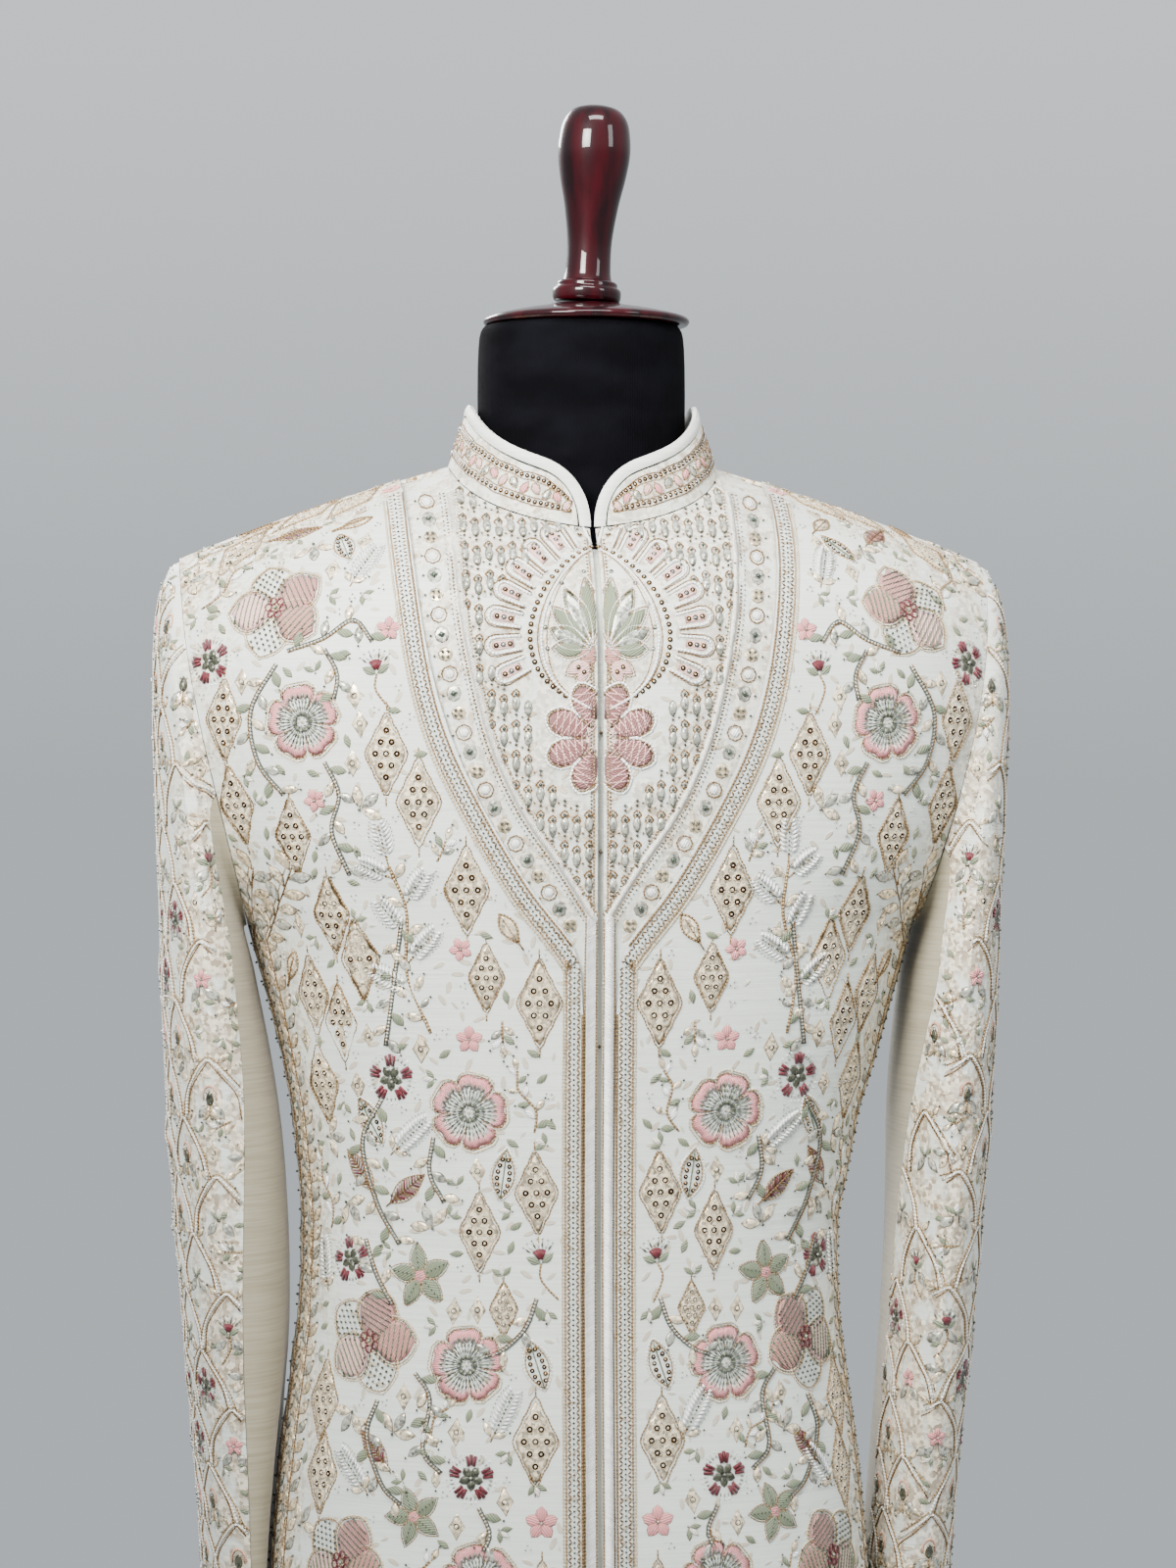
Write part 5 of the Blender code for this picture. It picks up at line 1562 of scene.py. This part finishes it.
def border(h, line, *rows):
    """rows are (kind, offset from the line, width, tone)."""
    for kind, offset, width, tone in rows:
        kind(h, beside(line, offset), width, tone)


print("border stitches:", [kind.__name__ for kind in (rope, zigzag, dots, run)])

# %% [markdown]
# The outer border runs down the neck opening and the front edge. The inner front, seen in
# the opening, has a white rope below it and finer lines above.

# %% Front edge and neck opening
VEE_LINE = curve((
    (9, 1176), (19, 1190), (40, 1217), (62.5, 1255), (82, 1295), (93.6, 1337), (101, 1395),
    (103, 1441),
))
OUTER_ROWS = (
    (run, -1.4, 1.1, "gold"), (zigzag, -3.6, 2.4, "gold"), (dots, -6.0, 1.7, "pewter"),
    (zigzag, -8.4, 2.4, "gold"), (run, -10.4, 1.0, "zari"), (run, -12.2, 1.1, "cream"),
)
EDGE_ROWS = (
    (run, -1.1, 1.1, "gold"), (zigzag, -3.2, 2.4, "gold"), (dots, -5.6, 1.7, "pewter"),
    (zigzag, -8.0, 2.4, "gold"), (run, -9.9, 1.0, "zari"), (run, -11.4, 0.9, "cream"),
)
INNER_LINE = curve((
    (4, 1196), (23, 1226), (44, 1257), (60, 1292), (70, 1330), (77, 1372), (80, 1436),
))
INNER_ROWS = (
    (zigzag, 4.6, 1.6, "zari"), (rope, 1.6, 3.4, "ivory"), (zigzag, -1.5, 1.6, "gold"),
    (dots, -3.6, 1.2, "pewter"),
)
LOWER_ROWS = ((rope, 0, 5.0, "white"), (run, 3.0, 0.8, "zari"), (run, -2.9, 0.9, "zari"))
UPPER_ROWS = ((run, 0.6, 0.8, "zari"), (zigzag, -0.9, 1.5, "gold"))
HEM_Z = 402
VEE_Z = 1176.0
BIB_LOW, BIB_HIGH = 1200.0, 1408.0
for side in ("right", "left"):
    outer = front_hoop("front_outer", side)
    inner = front_hoop("front_inner", side)
    border(outer, VEE_LINE, *OUTER_ROWS)
    border(outer, ((8.5, HEM_Z), (8.5, VEE_Z)), *EDGE_ROWS)
    border(inner, ((5.0, HEM_Z), (5.0, BIB_LOW)), *LOWER_ROWS)
    border(inner, ((4.4, BIB_LOW), (4.4, BIB_HIGH)), *UPPER_ROWS)
    border(inner, INNER_LINE, *INNER_ROWS)
print("borders laid")

# %% [markdown]
# ### The bib
# Inside the neck opening the ground is covered: a ring of pendants along the border, a pear
# medallion with finger rays, a lattice flower, and strings of cocoons and beads. A cocoon is
# an oval of satin inside a metal line.

# %% Bib motifs
def cocoon(h, x, y, tall, wide):
    h.fill(ring_shape(x, y, wide / 2, 8, tall / wide), 0, "silver", 1.3, "gold")


def small_diamond(h, x, y, r):
    corners = ((x + r, y), (x, y + r * 1.15), (x - r, y), (x, y - r * 1.15))
    h.rim(corners, 0, "gold", 4, 1.3)
    h.bead(x, y, 2.4, "pewter")


def finger_shape(x, y, angle, near, far, half):
    """A U from its open end at near to its round end at far, along the angle."""
    bend = np.radians((90, 60, 30, 0, -30, -60, -90))
    along = np.concatenate([[near], far - half + half * np.cos(bend), [near]])
    across = np.concatenate([[half * 0.8], half * np.sin(bend), [-half * 0.8]])
    return placed(x, y, angle, along, across)


def finger_ray(h, x, y, angle):
    """A raised U of white rope with a pink heart."""
    h.run(finger_shape(x, y, angle, 0.5, 19.5, 4.6), "white", 3.2, 2.3, 1.5)
    h.run(finger_shape(x, y, angle, 1.0, 21.4, 6.2), "gold", 3.4, 0.9, 0.9)
    h.fill(finger_shape(x, y, angle, 4.5, 17.2, 2.9), angle, "blush", 0.7, "mauve")
    c, s = toward(angle)
    for i in range(3):
        h.sequin(x + c * (7 + 3.8 * i), y + s * (7 + 3.8 * i), 3.0, ("gold", "silver")[i % 2], 0.7)


def pendant(h, x, y, angle, look):
    """A small ring of one of three kinds, hung off the border, with a bead at its end."""
    c, s = toward(angle)
    cx, cy = x + c * 6.4, y + s * 6.4
    if look == 0:
        h.fill(ring_shape(cx, cy, 4.6, 8), 0, "cream", 0.2, "zari")
        for i, j in ((-1, -1), (-1, 1), (1, -1), (1, 1)):
            h.bead(cx + i * 1.5, cy + j * 1.5, 2.3, "pewter", 0.3)
    elif look == 1:
        h.fill(ring_shape(cx, cy, 4.6, 8, 1.15), 0, "silver", 0.2, "zari")
        h.lay("bead", cx, cy, c, s, 4.6, 3.6, 2.4, "pine")
    else:
        h.rim(ring_shape(cx, cy, 4.4, 8), 0, "gold", 3, 1.0, 0.9)
        h.fill(ring_shape(cx, cy, 3.0, 6), 60, "white", 0.8, "cream")
    h.bead(x + c * 12.4, y + s * 12.4, 1.9, "pewter")


BIB_FLOWER_Z = 1297
# a petal of the lattice flower: distance from the middle, degrees from the petal's own line
LATTICE_PETAL = (
    (8, -22.5), (14, -22.5), (20.5, -21.5), (26.5, -15), (30, -6), (31, 0),
    (30, 6), (26.5, 15), (20.5, 21.5), (14, 22.5), (8, 22.5),
)


def lattice_petal(angle, grow=0.0):
    turn = np.radians([angle + a for _, a in LATTICE_PETAL])
    far = np.array([d for d, _ in LATTICE_PETAL]) + grow
    return np.column_stack([far * np.cos(turn), BIB_FLOWER_Z + far * np.sin(turn)])


print("lattice petal corners:", len(LATTICE_PETAL))

# %% [markdown]
# The bib is worked from its middle outwards: the medallion, the lattice flower, the
# pendants, and then strings that end wherever something is in their way.

# %% Work the bib
PEAR = curve((
    (0, 1404), (12, 1398), (26, 1385), (35.5, 1368), (38.5, 1351), (34, 1334), (22, 1322),
    (6, 1314),
))
FAN_LEAVES = ((84, 37), (65, 34), (46, 29), (25, 23), (2, 19))
LATTICE_STEP = 3.7


def medallion(h):
    """The pear: sequins, a triple line, a fan of leaves, two pink buds and finger rays."""
    for x, z, _, _ in paced(PEAR, 4.2):
        h.sequin(x, z, 3.0, "gold")
    h.run(PEAR * (0.89, 1) + (0, -1.0), "gold", 2.2, 0.9)
    h.run(PEAR * (0.84, 1) + (0, -1.2), "white", 1.8, 2.2, 1.4)
    h.run(PEAR * (0.76, 1) + (0, -1.6), "zari", 2.1, 0.9)
    for angle, long in FAN_LEAVES:
        c, s = toward(angle)
        x, z = 3 + 4 * c, 1345 + 4 * s
        shape = leaf_shape(x, z, angle, long, 9.0, 0.8)
        h.sequin(x + (long + 3) * c, z + (long + 3) * s, 2.6, "silver")
        h.fill(shape, angle + 30, ("sage", "silver")[(angle // 20) % 2], 0.6, "moss")
        h.rim(shape, 0.6, "zari", 2.0, 0.8)
        h.rim(shape, 1.7, "white", 2.2, 0.9, 0.9)
    for angle in (-34, -66):
        shape = leaf_shape(6, 1340, angle, 15, 7, 0.8)
        h.fill(shape, angle + 30, "blush", 0.5, "dusty")
        h.rim(shape, 0.9, "zari", 2.0, 0.9)
        h.sequin(*shape.mean(0), 2.6, "gold", 0.6)
    h.fill(ring_shape(6, 1342, 6.0, 10), 0, "dusty")
    for turn in (0, 1.57, 3.14, 4.71):
        h.bead(6 + 3 * math.cos(turn), 1342 + 3 * math.sin(turn), 1.6, "silver")
    for x, z, dx, dz in paced(PEAR * (1.12, 1) + (0, 1.5), 12.2)[:8]:
        finger_ray(h, x, z, angle_of(-dz, dx))


def lattice_flower(h):
    """Netted petals round a green eye; each half is worked on its own side of the coat."""
    for angle in (67.5, 22.5, -22.5, -67.5):
        h.fill(lattice_petal(angle), angle + 45, "mauve", 0.5)
        c, s = toward(angle)
        for row in range(2, 8):
            near = row * LATTICE_STEP
            wide = min(near * 0.38, 8.6 * math.sin(math.pi * row / 8.4) ** 0.6)
            for lean in (1.6, -1.6):
                far, back = near + lean, near - lean
                start = (far * c - wide * s, BIB_FLOWER_Z + far * s + wide * c)
                end = (back * c + wide * s, BIB_FLOWER_Z + back * s - wide * c)
                if min(start[0], end[0]) > -0.5:
                    h.run([start, end], "blush", 5.0, 1.2, 1.1)
        h.run(lattice_petal(angle), "zari", 3.0, 1.0, 1.1)
        h.run(lattice_petal(angle, 1.6)[1:-1], "white", 3.2, 1.8, 1.3)
    h.fill(ring_shape(0, BIB_FLOWER_Z, 11.5, 14), 30, "sage", 0.9, "zari")
    for i in range(10):
        turn = math.tau * (i + 0.5) / 10
        h.bead(8.6 * math.cos(turn), BIB_FLOWER_Z + 8.6 * math.sin(turn), 2.0, "silver", 0.8)


def room_for_string(x, z):
    """True where neither the border, the medallion, its rays nor the flower is in the way."""
    edge = float(np.interp(z, INNER_LINE[:, 1], INNER_LINE[:, 0]))
    pear = float(np.interp(z, PEAR[::-1, 1], PEAR[::-1, 0])) if 1300 < z < 1406 else 0
    ray_room = pear * 1.12 + 22 if 1316 < z < 1402 else 0
    clear = math.hypot(x, z - BIB_FLOWER_Z) >= 38 and math.hypot(x, z - 1402) >= 20
    return clear and ray_room <= x <= edge - 4 and z <= 1444


def beaded_strings(h):
    """Upright strings of cocoons, small diamonds and beads, wherever there is room."""
    for column in range(1, 12):
        x = column * 6.6
        for step in range(46):
            z = 1198 + step * 5.5 + 2.7 * (column % 2)
            if not room_for_string(x, z):
                continue
            if step % 3 == 0:
                cocoon(h, x, z, 9.0, 4.9)
            elif step % 3 == 1:
                small_diamond(h, x, z - 0.6, 2.5)
            else:
                h.bead(x, z + 1.6, 2.4, "pewter")
                h.bead(x, z - 0.9, 2.1, "bronze")
                h.bead(x + 3.3, z + 0.5, 1.7, "gold")


for side in ("right", "left"):
    h = front_hoop("front_inner", side)
    medallion(h)
    lattice_flower(h)
    for i, (x, z, dx, dz) in enumerate(paced(beside(INNER_LINE, -5.0), 10.8)):
        pendant(h, x, z, angle_of(dz, -dx), i % 3)
    beaded_strings(h)
underlap = Hoop("placket_underlap", Vector((0, -0.2, 0)), Vector((0, -1, 0)), reach=0.2)
for x, z in ((0.4, 1300), (0.2, 1235), (0.3, 1128)):
    underlap.bead(x, z, 2.6, "bronze")
print("bib stitches:", sum(len(v) for v in skins["front_inner_right"]["stitches"].values()))

# %% [markdown]
# ### The stand collar
# The collar's band is worked between its plain foot and its folded binding: two chains of
# sequins with small pink and silver petals between them.

# %% Work the collar
def collar_line(side, share, foot=6.0, head=3.0):
    """A line round half of the collar at a share of its worked height, in mm."""
    h = RoundHoop("collar", "neck", side, 0.072)
    line = []
    for x in np.arange(4, 232, 4.0):
        seen = [z for z in np.arange(1410, 1492, 1.5) if h.spot(x, z)]
        if seen:
            low, high = min(seen) + foot, max(seen) - head
            line.append((x, low + (high - low) * share))
    return np.array(line)


for side in ("right", "left"):
    h = RoundHoop("collar", "neck", side, 0.072)
    for share, tone in ((0.0, "gold"), (0.24, "zari"), (0.76, "zari"), (1.0, "gold")):
        h.run(collar_line(side, share), tone, 2.2, 0.9, 0.8)
    for share in (0.12, 0.88):
        for x, z, _, _ in paced(collar_line(side, share), 3.3):
            h.sequin(x, z, 2.7, "gold")
    for i, (x, z, _, _) in enumerate(paced(collar_line(side, 0.5), 6.6)):
        tilt = 62 if i % 2 else -62
        petal = leaf_shape(x - 1.5, z - math.copysign(2.6, tilt), tilt, 7.4, 4.4, 0.8)
        h.fill(petal, tilt, ("blush", "rose", "silver")[i % 3])
        h.rim(petal, 0.4, "zari", 1.9, 0.7)
        h.bead(x + 2.6, z + math.copysign(1.8, tilt), 1.4, "silver")
print("collar worked")

# %% [markdown]
# ### The sleeves
# The upper sleeve is covered by a scale lattice, rows of pointed arches that step by half a
# width, with an eye, a thistle, a floret or leaves inside each. The under sleeve stays plain.

# %% Work the sleeves
ARCH_WIDE = 36
ARCH_TALL = 40


def arch(grow=0.0):
    """One pointed arch of the lattice, round the middle of its tile."""
    side = ARCH_WIDE / 2 + grow
    foot, tip = -ARCH_TALL * 0.42, 19 + grow
    half = curve([(side, foot), (side * 0.86, -2), (side * 0.42, tip - 8), (0, tip)])
    return np.vstack([half, half[::-1][1:] * (-1, 1)])


def eye(h):
    """A drop in a peach arch, with two leaves under it."""
    h.band(
        [(-6, -2), (-6, 4), (-3.4, 8), (0, 9.4), (3.4, 8), (6, 4), (6, -2)],
        [(-3.6, -2), (-3.6, 3), (-2, 5.6), (0, 6.6), (2, 5.6), (3.6, 3), (3.6, -2)], "peach", "gold",
    )
    h.fill(leaf_shape(0, 5, -90, 12, 6.6, 0.8), 0, "pewter", 0.8, "gold")
    for x, y in ((-1.8, 3.4), (0, 4.6), (1.8, 3.4)):
        h.bead(x, y, 1.8, "silver", 0.5)
    for angle in (-60, -120):
        bud(h, 0, -6, angle, 10, "cream")
    h.run([(0, -6), (0, -15)], "zari", 3.6, 1.2)


def seam_line(h, low, high, way, inset, start=-150):
    """The line at an inset from a panel's last (way 1) or first (way -1) edge, in mm."""
    line = []
    for z in np.arange(low, high, 14.0):
        seen = [x for x in np.arange(start, 330, 3.0) if h.spot(x, z)]
        if seen:
            line.append(((max(seen) if way > 0 else min(seen)) - way * inset, z))
    return np.array(line)


def seam_vine(h, line, size):
    """Dense metal-thread work along a seam: two stems with buds on both sides in turn."""
    h.run(line, "gold", 5, 1.3)
    h.run(line + (3.0, 0), "zari", 5, 1.0)
    for i, (x, y, dx, dy) in enumerate(paced(line, 5.4)):
        side = -1 if i % 2 else 1
        bud(h, x, y, angle_of(dx, dy) + side * 48, size, ("sand", "silver", "cream")[i % 3])


def arch_tile(tile):
    """The three lines of one scale of the lattice."""
    tile.run(arch(), "ivory", 3.6, 2.0, 1.2)
    tile.run(arch(1.9), "zari", 3.8, 1.1, 0.8)
    tile.run(arch(-1.9), "gold", 3.8, 1.1, 0.8)


SLEEVE_MENU = (eye, thistle, eye, floret, leaf_trio, eye, star_flower, leaf_trio)
CUFF_Z = 779.0
CUFF_ROWS = (
    (run, 0, 1.0, "gold"), (zigzag, 3.0, 2.6, "zari"), (dots, 5.8, 1.3, "sage"),
    (zigzag, 8.6, 2.6, "zari"), (run, 11.0, 1.0, "cream"),
)
for side in ("right", "left"):
    base = RoundHoop("sleeve_upper_" + side, "sleeve", side, SLEEVE_RADIUS)
    for row, z in enumerate(np.arange(806, 1392, ARCH_TALL * 0.82)):
        for column in range(-4, 5):
            x = (column + 0.5 * (row % 2)) * ARCH_WIDE
            tile = base.at(x, z)
            if tile is None:
                continue
            if side == "right":
                claim(tile, [(x, y, 2.6) for x, y in arch()] + [(0, -3, 9.5)])
            arch_tile(tile)
            small = base.at(x, z - 3, 0, 1 if column % 2 else -1, 0.82)
            if small:
                SLEEVE_MENU[(row * 3 + column * 5) % len(SLEEVE_MENU)](small)
            for way in (-1, 1):
                bx = way * ARCH_WIDE * 0.27
                tile.bead(bx, 12, 1.7, "pewter")
                bud(tile, bx * 0.9, -16, 90 + 40 * way, 9.5, "silver")
                bud(tile, bx * 0.5, 16, 90 - 50 * way, 7, "cream")
    for way in (1, -1):
        seam_vine(base, seam_line(base, 796, 1330, way, 9), 9.5)
    border(base, ((-125.0, CUFF_Z), (125.0, CUFF_Z)), *CUFF_ROWS)
print("sleeve stitches:", sum(len(v) for v in skins["sleeve_upper_right"]["stitches"].values()))

# %% [markdown]
# ### Hem and ground
# The hem takes the same border. Then the ground fills up: larger motifs are tried first on
# the back, and small ones last, wherever a circle round them is still free.

# %% Hem borders
HEM_ROWS = (
    (run, 2.0, 1.0, "gold"), (rope, 5.4, 5.0, "white"), (run, 8.8, 1.0, "zari"),
    (zigzag, 12.0, 3.0, "zari"), (dots, 15.0, 1.4, "moss"), (zigzag, 18.0, 3.0, "zari"),
    (run, 20.6, 1.0, "gold"),
)
HEM_RANGES = {"front_outer": (14, 262), "back": (222, 470)}
for node, (start, end) in HEM_RANGES.items():
    for side in ("right", "left"):
        base = RoundHoop(node + "_" + side, "body", side, FOLD_RADIUS)
        border(base, ((start, HEM_Z), (end, HEM_Z)), *HEM_ROWS)
        if side == "right":
            claim(base, [(x, HEM_Z + 12, 11) for x in np.arange(start, end, 8.0)])
for side in ("right", "left"):
    base = RoundHoop("front_outer_" + side, "body", side, FOLD_RADIUS)
    for inset in (10, 30):
        seam = seam_line(base, HEM_Z + 26, 1240, 1, inset, 120)
        seam_vine(base, seam, 11.0)
        if side == "right":
            claim_line(base, seam, 8, 10)
claim_line(right_front, beside(VEE_LINE, -6.5), 6, 6.5)
claim(right_front, [(14.0, z, 7.0) for z in np.arange(HEM_Z, 1180, 6.0)])
print("circles taken:", taken_count)

# %% [markdown]
# An embroiderer fills the ground by eye. Here small motifs are dropped at random, with a
# fixed seed and more on larger faces, and one is kept only where all its circles are free.

# %% Fill the ground
def scatter(node, seed, menu, share):
    """Drops motifs on the right panel where they fit, and mirrors each to the left."""
    rng = np.random.default_rng(seed)
    skin = skins[node + "_right"]
    corners = [skin["points"][list(face)] for face in skin["faces"]]
    areas = [np.linalg.norm(np.cross(c[1] - c[0], c[2] - c[0])) for c in corners]
    odds = np.array(areas) / sum(areas)
    laid = 0
    for motif, size, tries, spread, *spots in menu:
        spots = spots[0] if spots else TAKEN_BY[motif]
        for index in rng.choice(len(corners), int(tries * share), p=odds):
            turn = float(rng.uniform(-spread, spread))
            weight = rng.random(len(corners[index]))
            place = weight @ corners[index] / weight.sum()
            point, normal, _, _ = skin["tree"].find_nearest(Vector(place))
            if not is_free([(point, 3 * MM)]):
                continue
            hoop = Hoop(node + "_right", point, normal, turn, 1, size)
            found = [(hoop.spot(x, y), r) for x, y, r in spots]
            rims = [hoop.spot(x + side * r, y) for x, y, r in spots for side in (-0.9, 0.9)]
            if any(f is None for f, _ in found) or None in rims:
                continue
            if is_free([(f[0], r * size * MM) for f, r in found]):
                work_both(hoop, turn, motif, spots)
                laid += 1
    return laid


# motif, size, tries, how far it may turn
LARGE_MENU = (
    (mixed_flower, 0.92, 60, 180), (pansy, 1.0, 160, 180), (five_leaf_flower, 0.95, 120, 180),
    (lozenge, 1.0, 500, 4), (star_flower, 1.0, 200, 180),
)
GROUND_MENU = (
    (lozenge, 0.95, 500, 4), (sprig, 0.9, 700, 50), (feather, 1.0, 700, 60),
    (thistle, 0.95, 200, 30), (netted_leaf, 1.0, 500, 60), (leaf_fan, 1.0, 1000, 180),
    (star_flower, 0.8, 200, 180), (floret, 0.95, 300, 180), (twig, 0.95, 1500, 180),
    (drop, 1.0, 900, 6), (leaf_trio, 0.85, 1500, 180), (small_leaf, 1.0, 2500, 180),
    (three_beads, 1.0, 2500, 180),
)
SLEEVE_GROUND = (
    (twig, 0.75, 1500, 180), (leaf_fan, 0.8, 1500, 180), (drop, 0.9, 900, 6, ((0, 0, 6.2),)),
    (leaf_trio, 0.7, 2500, 180), (small_leaf, 0.9, 3500, 180, ((0, 0, 4.0),)),
    (three_beads, 0.9, 3500, 180, ((0, 0, 2.4),)),
)
print("front:", scatter("front_outer", 11, GROUND_MENU, 2.5))
print("sleeve:", scatter("sleeve_upper", 31, SLEEVE_GROUND, 0.8))
print("back:", scatter("back", 23, LARGE_MENU + GROUND_MENU, 0.22))

# %% [markdown]
# ### From patterns to meshes
# Each panel's stitches become one mesh. Every copy is the model stretched to its own length,
# width and height, and turned to its own direction on the cloth.

# %% Join the stitches
made_triangles = 0


def joined_stitches(node):
    global made_triangles
    shade = np.random.default_rng(len(node) * 7 + 3)
    corners_all, faces_all, colours_all, finish_all = [], [], [], []
    start = 0
    for (kind, finish), rows in sorted(skins[node]["stitches"].items()):
        rows = np.array(rows)
        corners, triangles = STITCH_MODELS[kind]
        place, along, out = rows[:, 0:3], rows[:, 3:6], rows[:, 6:9]
        out = out / np.linalg.norm(out, axis=1)[:, None]
        beside_it = np.cross(out, along)
        size = rows[:, 9:12] * MM
        place = place - out * (SINK * MM)
        laid = (
            place[:, None, :]
            + corners[None, :, 0:1] * size[:, None, 0:1] * along[:, None, :]
            + corners[None, :, 1:2] * size[:, None, 1:2] * beside_it[:, None, :]
            + corners[None, :, 2:3] * size[:, None, 2:3] * out[:, None, :]
        )
        count = len(rows)
        # Stitches of metal, sequins and beads vary at random from 0.55 to 1.25 of their tone: partly
        # their own uneven tone, partly painted glint. Silk varies less.
        low, high = (0.55, 1.25) if finish else (0.84, 1.04)
        colour = TONE_VALUES[rows[:, 12].astype(int)] * shade.uniform(low, high, (count, 1))
        faces = triangles[None] + (start + np.arange(count) * len(corners))[:, None, None]
        corners_all.append(laid.reshape(-1, 3))
        faces_all.append(faces.reshape(-1, 3))
        colours_all.append(np.repeat(np.column_stack([colour, np.ones(count)]), len(corners), axis=0))
        finish_all.append(np.full(count * len(triangles), finish))
        start += count * len(corners)
    lays_all = [np.zeros(start)]
    for places, faces, tones, lays, finish in skins[node]["pads"]:
        corners_all.append(np.array(places))
        faces_all.append(np.array(faces) + start)
        colour = TONE_VALUES[tones] * shade.uniform(0.92, 1.04)
        colours_all.append(np.column_stack([colour, np.ones(len(places))]))
        finish_all.append(np.full(len(faces), finish))
        lays_all.append(np.array(lays))
        start += len(places)
    corners_all, faces_all = np.vstack(corners_all), np.vstack(faces_all)
    mesh = bpy.data.meshes.new(node + "_embroidery")
    mesh.from_pydata(corners_all.tolist(), [], faces_all.tolist())
    for finish in THREADS:
        mesh.materials.append(finish.material)
    mesh.polygons.foreach_set("material_index", np.concatenate(finish_all).astype(np.int32))
    mesh.polygons.foreach_set("use_smooth", np.ones(len(faces_all), bool))
    colour = mesh.attributes.new("thread_colour", "FLOAT_COLOR", "POINT")
    colour.data.foreach_set("color", np.vstack(colours_all).astype(np.float32).ravel())
    lay = mesh.attributes.new("thread_lay", "FLOAT", "POINT")
    lay.data.foreach_set("value", np.concatenate(lays_all).astype(np.float32))
    mesh.update()
    piece = bpy.data.objects.new(node + "_embroidery", mesh)
    bpy.context.scene.collection.objects.link(piece)
    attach(piece, "root")
    made_triangles += len(faces_all)
    print(piece.name, len(faces_all), "triangles")
    return piece


for node in list(skins):
    if skins[node]["stitches"]:
        inner = node.startswith(("front_inner", "collar"))
        joined_stitches(node)
print("embroidery:", made_triangles, "triangles in all")
